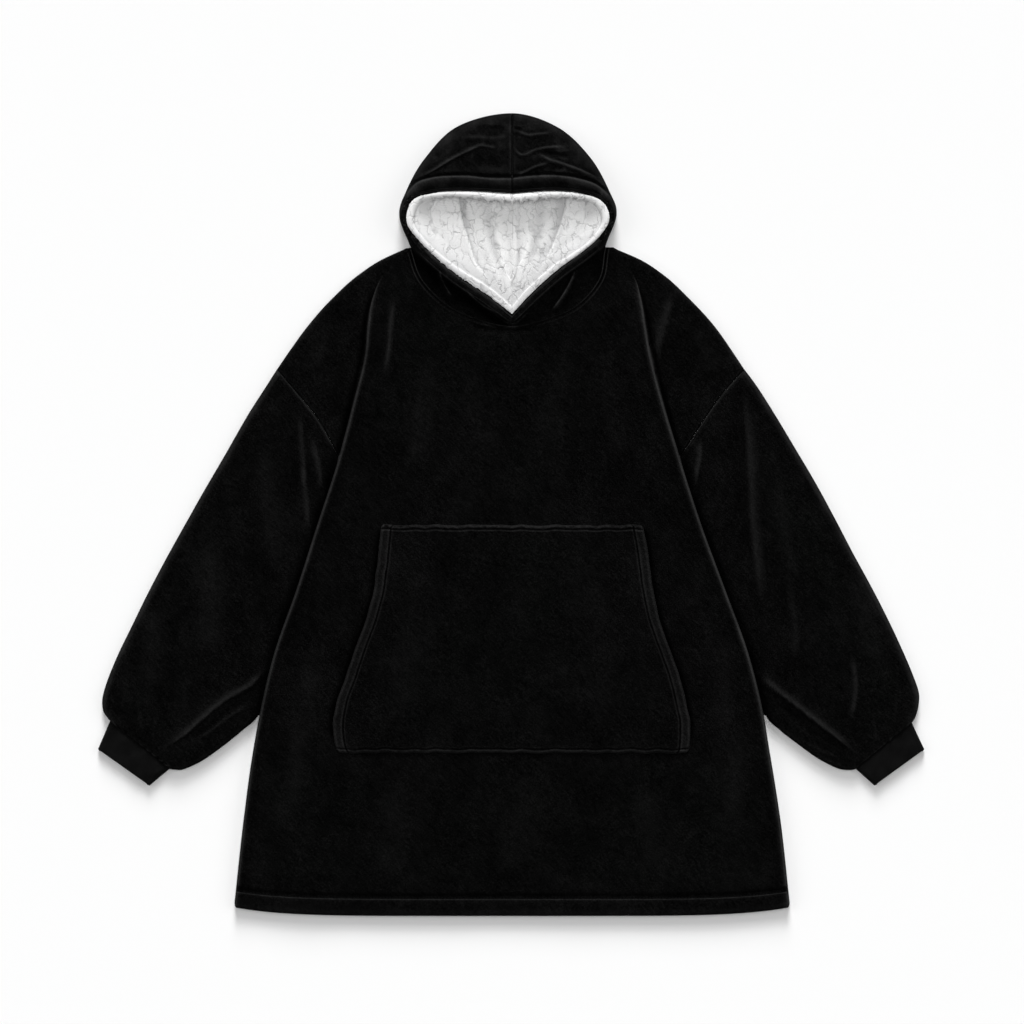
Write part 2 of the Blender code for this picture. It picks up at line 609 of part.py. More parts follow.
def lining_grid(side):
    rows = []
    for a in NECK_SECTIONS + CROWN_SECTIONS:
        rx, ry = (float(v) for v in hood_curve(side, "rim", a))
        ox, oy = (float(v) for v in hood_curve(side, "outline", a))
        reach = np.hypot(rx, LINING_FOCUS_Y - ry)
        ux, uy = -rx / reach, (LINING_FOCUS_Y - ry) / reach
        height = float(rim_height(a))
        width = np.hypot(ox - rx, oy - ry)
        crown = a > NECK_SECTIONS[-1]
        recess = max(0, width - LINING_RECESS_FROM) * LINING_RECESS if crown else 0
        floor = float(lining_floor(ry))
        deep = height - floor
        drop = np.minimum(column(LINING_TOP, 2), column(LINING_TOP, 3) * deep)
        z = np.concatenate([height - drop, floor + column(LINING_WALL_PROFILE, 2) * deep])
        inwards = np.concatenate([column(LINING_TOP, 0), column(LINING_WALL_PROFILE, 0)])
        back = np.concatenate([column(LINING_TOP, 1), column(LINING_WALL_PROFILE, 1)])
        # Measured square to the rim, whose run is known from a step on either side.
        bx, by = (float(v) for v in hood_curve(side, "rim", a - RIM_PROBE))
        cx, cy = (float(v) for v in hood_curve(side, "rim", a + RIM_PROBE))
        square = abs(ux * (cy - by) - uy * (cx - bx)) / np.hypot(cx - bx, cy - by)
        inwards = inwards + inwards[0] * (1 / max(square, LINING_SQUARE) - 1) - recess * back
        wx, wy = rx + ux * inwards, ry + uy * inwards
        target = LINING_LOW_Y + (LINING_HIGH_Y - LINING_LOW_Y) * a / CROWN_SECTIONS[-1]
        if a == 0:
            target = wy[-1]
        share = np.array(LINING_SHARES)
        fx = wx[-1] * (1 - share)
        fy = wy[-1] + (target - wy[-1]) * share
        fz = lining_floor(fy) + folds(LINING_FOLDS, side * fx, fy)
        x = np.concatenate([wx, fx])
        y = np.concatenate([wy, fy])
        z = np.concatenate([z, fz])
        x = np.maximum(x, GAP / 2)
        rows.append(np.stack([x, y, z], axis=1))
    grid = np.array(seam_strips(rows)) * np.array([side, 1, 1])
    return grid[:, ::-1] if side == RIGHT else grid


def build():
    clear_scene()
    parts = bpy.data.collections.new("sherpa_hoodie")
    bpy.context.scene.collection.children.link(parts)
    left, left_outer = front_half(LEFT)
    right, right_outer = front_half(RIGHT)
    cloth_object("front", (left, left_outer, right, right_outer), BODY_WALL, "plush_black", parts,
                 even=False)
    cloth_object("back", back_grid(), BODY_WALL, "plush_black", parts)
    pocket = pocket_grid(left, right)

    def pocket_weight(point):
        side = LEFT if point.x < 0 else RIGHT
        away = abs(abs(point.x) - float(pocket_line(side, point.y)))
        return 1.0 if away < POCKET_SIDE else POCKET_WALL / POCKET_HEM_WALL

    cloth_object("pocket", (pocket,), POCKET_HEM_WALL, "plush_black", parts, outward=True,
                 weights=pocket_weight)
    for side, word in ((LEFT, "left"), (RIGHT, "right")):
        cloth_object("sleeve_" + word, (sleeve_grid(side),), BODY_WALL, "plush_black", parts, closed=True)
        cloth_object("cuff_" + word, (cuff_grid(side),), CUFF_WALL, "rib_black", parts, closed=True)
        cloth_object("hood_" + word, (hood_grid(side),), HOOD_WALL, "plush_black", parts)
        cloth_object("hood_lining_" + word, (lining_grid(side),), LINING_WALL, "sherpa_white", parts,
                     even=False)


build()
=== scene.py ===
import math
import bpy
import bmesh
import numpy as np
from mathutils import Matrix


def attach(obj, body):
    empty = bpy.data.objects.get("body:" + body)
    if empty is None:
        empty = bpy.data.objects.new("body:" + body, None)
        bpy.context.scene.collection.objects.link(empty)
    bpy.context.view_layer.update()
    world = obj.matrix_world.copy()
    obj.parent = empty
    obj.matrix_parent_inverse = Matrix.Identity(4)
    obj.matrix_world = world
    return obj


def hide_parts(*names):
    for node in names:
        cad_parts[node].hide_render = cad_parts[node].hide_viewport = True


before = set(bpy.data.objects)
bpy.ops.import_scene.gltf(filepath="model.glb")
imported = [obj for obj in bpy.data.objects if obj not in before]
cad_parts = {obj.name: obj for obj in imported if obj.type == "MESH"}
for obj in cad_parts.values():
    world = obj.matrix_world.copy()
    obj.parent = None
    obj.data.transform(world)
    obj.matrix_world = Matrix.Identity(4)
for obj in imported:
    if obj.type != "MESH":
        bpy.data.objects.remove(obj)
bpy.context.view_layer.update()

mm = 0.001
left, right = -1, 1
sideWord = {left: "left", right: "right"}

# Curves and noise.


def ridge(distance, width):
    # exp(-(distance / width)^2): 1 on a line, fading to both sides of it.
    return np.exp(-(distance / width) ** 2)


def ridges(distance, rows):
    # The sum of height * ridge(distance - place, width) over rows of height, place and width.
    return sum(height * ridge(distance - place, width) for height, place, width in rows)


def within(value):
    # Kept between 0 and 1.
    return np.clip(value, 0, 1)


def column(table, index):
    # One column of a table, as an array.
    return np.array([row[index] for row in table], float)


def smoothCurve(stations, values, at, level=False):
    # Cubic curve through the values. The slope at each station is that of its neighbours' chord,
    # and none at both ends of a level curve.
    stations, values = np.asarray(stations, float), np.asarray(values, float)
    slopes = np.gradient(values, stations)
    if level:
        slopes[[0, -1]] = 0
    at = np.clip(np.asarray(at, float), stations[0], stations[-1])
    i = np.clip(np.searchsorted(stations, at, side="right") - 1, 0, len(stations) - 2)
    step = stations[i + 1] - stations[i]
    t = (at - stations[i]) / step
    rise = t * t * (3 - 2 * t)
    lead = t * (1 - t) ** 2 * slopes[i]
    trail = -t * t * (1 - t) * slopes[i + 1]
    return values[i] * (1 - rise) + values[i + 1] * rise + step * (lead + trail)


def smoothLine(points, count):
    # The same curve through points in the plane or in space, at equal shares of its length.
    points = np.asarray(points, float)
    run = np.r_[0, np.cumsum(np.linalg.norm(np.diff(points, axis=0), axis=1))]
    at = np.linspace(0, run[-1], count)
    return np.stack([smoothCurve(run, points[:, k], at) for k in range(points.shape[1])], axis=1)


def nearLine(line, x, y):
    # Distance to a line of straight runs, share of its length there, and on which side it lies.
    run = np.r_[0, np.cumsum(np.linalg.norm(np.diff(line, axis=0), axis=1))]
    away = np.full(x.shape, 1e9)
    share, turn = np.zeros(x.shape), np.zeros(x.shape)
    for k in range(len(line) - 1):
        (x0, y0), (x1, y1) = line[k], line[k + 1]
        length = run[k + 1] - run[k]
        ux, uy = (x1 - x0) / length, (y1 - y0) / length
        along = np.clip((x - x0) * ux + (y - y0) * uy, 0, length)
        dx, dy = x - x0 - along * ux, y - y0 - along * uy
        here = np.hypot(dx, dy)
        near = here < away
        away = np.where(near, here, away)
        share = np.where(near, (run[k] + along) / run[-1], share)
        turn = np.where(near, ux * dy - uy * dx, turn)
    return away, share, turn


def foldRise(folds, x, y):
    # Each fold is a bank: height * exp(-(distance / width)^2), with one width on the left of its
    # crest line and another on the right, eased out over the last quarter at both ends.
    rise = np.zeros(np.shape(x))
    for height, leftWidth, rightWidth, points in folds:
        line = smoothLine(points, 4 * len(points))
        away, share, turn = nearLine(line, x, y)
        width = np.where(turn > 0, leftWidth, rightWidth)
        fade = ease(np.minimum(share, 1 - share) * 4)
        rise = rise + height * ridge(away, width) * fade
    return rise


def foldLight(folds, x, y, broad, thin):
    # Painted light on the crests of folds, and painted shade in troughs: the fold's height times a
    # share, which is the thin one for folds under 6 mm wide on their narrow side. Their painted light
    # is 0.6 as wide.
    light = np.zeros(np.shape(x))
    for height, leftWidth, rightWidth, points in folds:
        narrow = min(leftWidth, rightWidth) < 6
        size, gain = (0.6, thin) if narrow else (1.0, broad)
        light = light + gain * foldRise(((height, leftWidth * size, rightWidth * size, points),), x, y)
    return light


def ripples(x, y, length, seed, stretch=1.0):
    # A sum of 22 waves cos(k . p + phase) in seeded directions, their lengths 0.7 to 1.5 of the given
    # one, longer along Y by the stretch. The sum is scaled to about -1 to 1.
    count = 22
    dice = np.random.default_rng(seed)
    total = np.zeros(np.shape(x))
    for turn, size, phase in zip(dice.uniform(0, 2 * np.pi, count), dice.uniform(0.7, 1.5, count),
                                 dice.uniform(0, 2 * np.pi, count)):
        k = 2 * np.pi / (length * size)
        total += np.cos(k * (np.cos(turn) * x + np.sin(turn) * y / stretch) + phase)
    return total / math.sqrt(count)


def roll(distance, width):
    # A quarter of an ellipse: 0 at the edge, 1 at the width and beyond.
    t = within(distance / width)
    return np.sqrt(1 - (1 - t) ** 2)


def ease(t):
    # 3tt - 2ttt between 0 and 1.
    t = within(t)
    return t * t * (3 - 2 * t)


# Meshes.


def gridPiece(name, grids, finish, node, wall=0.0, closed=False, shade=None):
    # Quads over grids of points; a closed grid joins its last column to its first. Doubles merge,
    # and Solidify gives the wall inwards from the outer side.
    points, quads, start = [], [], 0
    for grid in grids:
        rows, columns = grid.shape[:2]
        i, j = np.meshgrid(np.arange(rows - 1), np.arange(columns if closed else columns - 1),
                           indexing="ij")
        k = (j + 1) % columns
        corners = [i * columns + j, i * columns + k, (i + 1) * columns + k, (i + 1) * columns + j]
        quads.append(np.stack(corners, axis=-1).reshape(-1, 4) + start)
        points.append(grid.reshape(-1, 3))
        start += rows * columns
    return meshPiece(name, np.concatenate(points), np.concatenate(quads), finish, node,
                     wall, merge=0.02, shade=shade)


def markCrests(mesh, shade=None):
    # The attribute crest is the mean of -2 n . d / |d|^2 over the edges d of a vertex with normal n,
    # as tanh(3 mm * that): 1 on sharp crests, -1 in sharp hollows. A piece's painted light and shade
    # is added. The finishes paint this attribute into the colour as highlight and shade.
    count = len(mesh.vertices)
    place, normal = np.zeros(count * 3, np.float32), np.zeros(count * 3, np.float32)
    mesh.vertices.foreach_get("co", place)
    mesh.vertex_normals.foreach_get("vector", normal)
    place, normal = place.reshape(-1, 3), normal.reshape(-1, 3)
    ends = np.zeros(len(mesh.edges) * 2, np.int32)
    mesh.edges.foreach_get("vertices", ends)
    one, two = ends.reshape(-1, 2).T
    gap = place[two] - place[one]
    size = np.maximum((gap ** 2).sum(axis=1), 1e-12)
    degree = np.bincount(one, minlength=count) + np.bincount(two, minlength=count)
    bend = np.bincount(one, -2 * (normal[one] * gap).sum(axis=1) / size, count)
    bend = bend + np.bincount(two, 2 * (normal[two] * gap).sum(axis=1) / size, count)
    bend = bend / np.maximum(degree, 1)
    bend = np.tanh(bend * 3 * mm)
    around = np.bincount(one, bend[two], count) + np.bincount(two, bend[one], count)
    bend = 0.5 * bend + 0.5 * around / np.maximum(degree, 1)
    if shade:
        bend = np.clip(bend + shade(*(place.T / mm)), -1, 1.2)
    mesh.attributes.new("crest", "FLOAT", "POINT").data.foreach_set("value", bend.astype(np.float32))


def meshPiece(name, points, quads, finish, node=None, wall=0.0, merge=0.0, crests=True,
              shade=None):
    # A mesh of quads from points in millimetres, which rides on the body and stands for a node.
    # Points closer than merge become one, and Solidify gives the wall.
    mesh = bpy.data.meshes.new(name)
    mesh.vertices.add(len(points))
    mesh.vertices.foreach_set("co", (np.asarray(points) * mm).astype(np.float32).ravel())
    mesh.loops.add(quads.size)
    mesh.loops.foreach_set("vertex_index", quads.astype(np.int32).ravel())
    mesh.polygons.add(len(quads))
    mesh.polygons.foreach_set("loop_start", np.arange(0, quads.size, 4, dtype=np.int32))
    mesh.update(calc_edges=True)
    if merge:
        work = bmesh.new()
        work.from_mesh(mesh)
        bmesh.ops.remove_doubles(work, verts=work.verts, dist=merge * mm)
        work.to_mesh(mesh)
        work.free()
    mesh.polygons.foreach_set("use_smooth", np.ones(len(mesh.polygons), bool))
    mesh.materials.append(finish)
    if crests:
        markCrests(mesh, shade)
    made = bpy.data.objects.new(name, mesh)
    bpy.context.scene.collection.objects.link(made)
    if wall:
        solid = made.modifiers.new("Wall", "SOLIDIFY")
        solid.thickness = wall * mm
        solid.offset = -1.0
    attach(made, "root")
    if node:
        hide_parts(node)
    return made


def stitchRow(paths, stitch):
    # Stitches along paths of points in space: each is a six-sided bead, as long as the stitch and
    # thin at its ends, sunk to half in the cloth.
    ring = np.radians([0, 60, 120, 180, 240, 300])
    along = np.array([-0.5, -0.34, 0.34, 0.5])
    girth = np.array([0.35, 1.0, 1.0, 0.35])
    points, quads, start = [], [], 0
    for path in paths:
        run = np.r_[0, np.cumsum(np.linalg.norm(np.diff(path, axis=0), axis=1))]
        count = max(2, int(run[-1] / stitch["step"]))
        at = (np.arange(count) + 0.5) * run[-1] / count
        reach = np.array([np.interp(at, run, path[:, k]) for k in range(3)]).T
        ahead = np.array([np.interp(at + 0.5, run, path[:, k]) for k in range(3)]).T
        behind = np.array([np.interp(at - 0.5, run, path[:, k]) for k in range(3)]).T
        way = ahead - behind
        way /= np.linalg.norm(way, axis=1, keepdims=True)
        across = np.cross(way, [0, 0, 1.0])
        across /= np.linalg.norm(across, axis=1, keepdims=True)
        up = np.cross(across, way)
        offset = (np.cos(ring)[None, None, :, None] * across[:, None, None, :]
                  + np.sin(ring)[None, None, :, None] * up[:, None, None, :])
        lengthwise = (along * stitch["length"])[None, :, None, None]
        beads = (reach[:, None, None, :] + way[:, None, None, :] * lengthwise
                 + offset * (girth * stitch["width"] / 2)[None, :, None, None])
        i, j = np.meshgrid(np.arange(3), np.arange(6), indexing="ij")
        k = (j + 1) % 6
        face = np.stack([i * 6 + j, (i + 1) * 6 + j, (i + 1) * 6 + k, i * 6 + k], axis=-1).reshape(-1, 4)
        caps = np.array([[0, 1, 2, 3], [0, 3, 4, 5], [21, 20, 19, 18], [23, 22, 21, 18]])
        face = np.concatenate([face, caps])
        quads.append((face[None] + 24 * np.arange(count)[:, None, None]).reshape(-1, 4) + start)
        points.append(beads.reshape(-1, 3))
        start += 24 * count
    return np.concatenate(points), np.concatenate(quads)


# Finishes.


def newFinish(name):
    # A new material, its tree, its shader, and the node that gives Object coordinates.
    made = bpy.data.materials.new(name)
    made.use_nodes = True
    tree = made.node_tree
    shader = tree.nodes["Principled BSDF"]
    where = tree.nodes.new("ShaderNodeTexCoord")
    return made, tree, shader, where


def noiseNode(tree, where, size, detail=3.0, rough=0.55, stretch=(1, 1, 1), slant=0.0):
    # Noise on Object coordinates; size is the width of one blotch in millimetres.
    turn = tree.nodes.new("ShaderNodeMapping")
    turn.vector_type = "TEXTURE"
    turn.inputs["Scale"].default_value = [1 / part for part in stretch]
    turn.inputs["Rotation"].default_value[2] = slant
    tree.links.new(where.outputs["Object"], turn.inputs["Vector"])
    noise = tree.nodes.new("ShaderNodeTexNoise")
    noise.inputs["Scale"].default_value = 1 / (size * mm)
    noise.inputs["Detail"].default_value = detail
    noise.inputs["Roughness"].default_value = rough
    tree.links.new(turn.outputs["Vector"], noise.inputs["Vector"])
    return noise.outputs["Fac"]


def mathNode(tree, kind, a, b):
    # One sum of two sockets or numbers.
    node = tree.nodes.new("ShaderNodeMath")
    node.operation = kind
    for socket, value in zip(node.inputs, (a, b)):
        if isinstance(value, (int, float)):
            socket.default_value = value
        else:
            tree.links.new(value, socket)
    return node.outputs[0]


def mixNode(tree, kind, base, over, share):
    # A colour laid over the base by a share that varies.
    node = tree.nodes.new("ShaderNodeMix")
    node.data_type = "RGBA"
    node.blend_type = kind
    tree.links.new(base, node.inputs[6])
    node.inputs[7].default_value = (*over, 1)
    tree.links.new(share, node.inputs[0])
    return node.outputs[2]


def rampNode(tree, value, stops):
    # Colours at places from 0 to 1, eased from one to the next.
    ramp = tree.nodes.new("ShaderNodeValToRGB")
    ramp.color_ramp.interpolation = "EASE"
    while len(ramp.color_ramp.elements) < len(stops):
        ramp.color_ramp.elements.new(0.5)
    for element, (place, colour) in zip(ramp.color_ramp.elements, stops):
        element.position = place
        element.color = (*colour, 1)
    tree.links.new(value, ramp.inputs["Fac"])
    return ramp.outputs["Color"]


def bumpNode(tree, shader, height, strength, distance, before=None):
    # Relief from a height, its distance in millimetres, over the relief before it.
    bump = tree.nodes.new("ShaderNodeBump")
    bump.inputs["Strength"].default_value = strength
    bump.inputs["Distance"].default_value = distance * mm
    tree.links.new(height, bump.inputs["Height"])
    if before:
        tree.links.new(before, bump.inputs["Normal"])
    tree.links.new(bump.outputs["Normal"], shader.inputs["Normal"])
    return bump.outputs["Normal"]


def crestNode(tree):
    # The crests and hollows that markCrests wrote.
    crest = tree.nodes.new("ShaderNodeAttribute")
    crest.attribute_name = "crest"
    return crest.outputs["Fac"]


def clothSurface(shader, rough, specular, sheen=0.0, sheenRough=0.5):
    # Numbers that are the same all over the cloth.
    shader.inputs["Roughness"].default_value = rough
    shader.inputs["Specular IOR Level"].default_value = specular
    shader.inputs["Sheen Weight"].default_value = sheen
    shader.inputs["Sheen Roughness"].default_value = sheenRough


plushLook = {
    "deep": (0.0005, 0.0005, 0.0005), "mid": (0.0022, 0.0022, 0.0022),
    "brushed": (0.0056, 0.0056, 0.0056), "steps": (0.38, 0.5, 0.64),
    # size in millimetres, detail, roughness, stretch and slant of each noise
    "blotch": (30.0, 3.0, 0.5, (1, 0.8, 1)), "nap": (5.5, 4.0, 0.7, (1, 0.8, 1)),
    "stroke": (2.2, 1.0, 0.5, (1, 0.22, 1), 0.75), "grain": (1.5, 1.0, 0.5),
    "shares": (0.20, 0.11, 0.21, 0.48),
    # painted highlight added on crests, its power, and the share of colour left in hollows, which is painted
    # shade
    "crest": (0.025, 0.025, 0.025), "crestPower": 1.5, "hollow": 0.2, "hollowGain": 1.4,
    "hollowFrom": 0.05, "rough": 0.92, "sheen": 0.035, "sheenTint": (0.8, 0.8, 0.8, 1),
    "sheenRough": 0.35, "napBump": (0.35, 0.8), "grainBump": (0.4, 0.3),
}


def plushFinish(name, look):
    # Short black pile: blotches where the nap is brushed another way, nap marks, slanting strokes
    # and single hairs, summed by their shares. From the attribute crest, a painted highlight is added
    # on crests and painted shade darkens hollows.
    made, tree, shader, where = newFinish(name)
    layers = [noiseNode(tree, where, *look[word]) for word in ("blotch", "nap", "stroke", "grain")]
    parts = [mathNode(tree, "MULTIPLY", layer, share) for layer, share in zip(layers, look["shares"])]
    mixed = parts[0]
    for part in parts[1:]:
        mixed = mathNode(tree, "ADD", mixed, part)
    tones = (look["deep"], look["mid"], look["brushed"])
    colour = rampNode(tree, mixed, tuple(zip(look["steps"], tones)))
    crest = crestNode(tree)
    # Painted highlight on crests, broken up by the nap noise.
    rise = mathNode(tree, "POWER", mathNode(tree, "MAXIMUM", crest, 0.0), look["crestPower"])
    broken = mathNode(tree, "MULTIPLY", rise, mathNode(tree, "MULTIPLY", mixed, 2.0))
    lit = mixNode(tree, "ADD", colour, look["crest"], broken)
    # Painted shade in hollows: the colour is multiplied towards the hollow share.
    paintedShade = mathNode(tree, "MULTIPLY", crest, -look["hollowGain"])
    paintedShade = mathNode(tree, "SUBTRACT", paintedShade, look["hollowFrom"])
    paintedShade = mathNode(tree, "MAXIMUM", mathNode(tree, "MINIMUM", paintedShade, 1.0), 0.0)
    shaded = mixNode(tree, "MULTIPLY", lit, (look["hollow"],) * 3, paintedShade)
    tree.links.new(shaded, shader.inputs["Base Color"])
    clothSurface(shader, look["rough"], 0.0, look["sheen"], look["sheenRough"])
    shader.inputs["Sheen Tint"].default_value = look["sheenTint"]
    soft = bumpNode(tree, shader, layers[1], *look["napBump"])
    bumpNode(tree, shader, layers[3], *look["grainBump"], soft)
    return made


knitLook = {"dark": (0.0029, 0.0029, 0.0029), "light": (0.0044, 0.0044, 0.0044), "steps": (0.3, 0.7),
            "patch": (14.0, 3.0, 0.5), "rib": 1.6, "wander": 0.6, "ribBump": (0.35, 0.35),
            "rough": 0.8, "specular": 0.02, "sheen": 0.02, "sheenRough": 0.5}


def knitFinish(name, look):
    # Fine smooth knit: bands run along the cuff, a rib's width apart, over a soft variation.
    made, tree, shader, where = newFinish(name)
    patch = noiseNode(tree, where, *look["patch"])
    colour = rampNode(tree, patch, tuple(zip(look["steps"], (look["dark"], look["light"]))))
    tree.links.new(colour, shader.inputs["Base Color"])
    clothSurface(shader, look["rough"], look["specular"], look["sheen"], look["sheenRough"])
    band = tree.nodes.new("ShaderNodeUVMap")
    band.uv_map = "lay"
    wave = tree.nodes.new("ShaderNodeTexWave")
    wave.inputs["Scale"].default_value = 1 / look["rib"]
    wave.inputs["Distortion"].default_value = look["wander"]
    tree.links.new(band.outputs["UV"], wave.inputs["Vector"])
    bumpNode(tree, shader, wave.outputs["Fac"], *look["ribBump"])
    return made


sherpaLook = {
    # the lines' grey, which is painted shade, the pile, and where the lines' grey is full; the painted shade
    # of hollows, and how much of it crests take
    "veinShade": (0.66, 0.66, 0.66), "pile": (0.90, 0.90, 0.897), "deepest": 0.85,
    "shade": (0.66, 0.66, 0.665), "crestShade": 0.5,
    # cells in millimetres and how strong their edges are; the edges' width is a share of a cell
    "cells": ((10.5, 0.85), (10.5 * 0.45, 0.25)), "veinWidth": 0.09, "stretch": (1, 0.6, 0),
    "bendSize": 10.0, "bendDetail": 3.0, "bend": (0.016, 0.016, 0.0),
    # where the edges show: a noise, the value at which they begin, and a gain
    "patch": (12.0, 2.0, 0.5), "patchFrom": 0.32, "patchGain": 3.4, "hair": (0.8, 3.0, 0.7),
    "veinBump": (0.6, 1.2), "hairBump": (0.4, 0.3),
    "rough": 1.0, "specular": 0.05, "sheen": 0.05, "sheenRough": 0.6,
}


def sherpaFinish(name, look):
    # White pile parted by fine branching lines: the edges of bent cells, in some places alone, with
    # a finer set between them. Both press into the pile, which has a hairy surface, and their grey
    # is painted shade in those creases.
    made, tree, shader, where = newFinish(name)
    bend = tree.nodes.new("ShaderNodeTexNoise")
    bend.inputs["Scale"].default_value = 1 / (look["bendSize"] * mm)
    bend.inputs["Detail"].default_value = look["bendDetail"]
    tree.links.new(where.outputs["Object"], bend.inputs["Vector"])
    moved = tree.nodes.new("ShaderNodeVectorMath")
    moved.operation = "MULTIPLY_ADD"
    tree.links.new(bend.outputs["Color"], moved.inputs[0])
    moved.inputs[1].default_value = look["bend"]
    tree.links.new(where.outputs["Object"], moved.inputs[2])
    flat = tree.nodes.new("ShaderNodeMapping")
    flat.inputs["Scale"].default_value = look["stretch"]
    tree.links.new(moved.outputs[0], flat.inputs["Vector"])
    patch = mathNode(tree, "SUBTRACT", noiseNode(tree, where, *look["patch"]), look["patchFrom"])
    patch = mathNode(tree, "MULTIPLY", patch, look["patchGain"])
    patch = mathNode(tree, "MINIMUM", mathNode(tree, "MAXIMUM", patch, 0.0), 1.0)
    veins = []
    for size, strength in look["cells"]:
        cells = tree.nodes.new("ShaderNodeTexVoronoi")
        cells.feature = "DISTANCE_TO_EDGE"
        cells.inputs["Scale"].default_value = 1 / (size * mm)
        tree.links.new(flat.outputs["Vector"], cells.inputs["Vector"])
        away = mathNode(tree, "DIVIDE", cells.outputs["Distance"], look["veinWidth"])
        near = mathNode(tree, "SUBTRACT", 1.0, mathNode(tree, "MINIMUM", away, 1.0))
        veins.append(mathNode(tree, "MULTIPLY", near, mathNode(tree, "MULTIPLY", patch, strength)))
    depth = mathNode(tree, "ADD", *veins)
    # Painted shade in the lines where the pile parts: the pile turns grey by their depth.
    colour = rampNode(tree, depth, ((0.0, look["pile"]), (look["deepest"], look["veinShade"])))
    # Painted shade: hollows are darkened, and in part the crests, to hold back their highlights.
    crest = crestNode(tree)
    paintedShade = mathNode(tree, "MAXIMUM", mathNode(tree, "MULTIPLY", crest, -1.0),
                    mathNode(tree, "MULTIPLY", crest, look["crestShade"]))
    shaded = mixNode(tree, "MULTIPLY", colour, look["shade"], mathNode(tree, "MINIMUM", paintedShade, 1.0))
    tree.links.new(shaded, shader.inputs["Base Color"])
    clothSurface(shader, look["rough"], look["specular"], look["sheen"], look["sheenRough"])
    soft = bumpNode(tree, shader, mathNode(tree, "SUBTRACT", 1.0, depth), *look["veinBump"])
    bumpNode(tree, shader, noiseNode(tree, where, *look["hair"]), *look["hairBump"], soft)
    return made


threadLook = {"colour": (0.0030, 0.0030, 0.0033), "steps": (0.35, 0.6), "twist": (0.6, 1.0),
              "rough": 0.7, "specular": 0.05}


def threadFinish(name, look):
    # Dark thread, its twist a fine noise between two tones.
    made, tree, shader, where = newFinish(name)
    dark = tuple(0.5 * value for value in look["colour"])
    twist = noiseNode(tree, where, *look["twist"])
    colour = rampNode(tree, twist, tuple(zip(look["steps"], (dark, look["colour"]))))
    tree.links.new(colour, shader.inputs["Base Color"])
    clothSurface(shader, look["rough"], look["specular"])
    return made


plush = plushFinish("plush", plushLook)
knit = knitFinish("cuff_knit", knitLook)
sherpa = sherpaFinish("sherpa", sherpaLook)
thread = threadFinish("thread", threadLook)
stitch = {"step": 4.2, "length": 3.3, "width": 0.7}
print("finishes made")

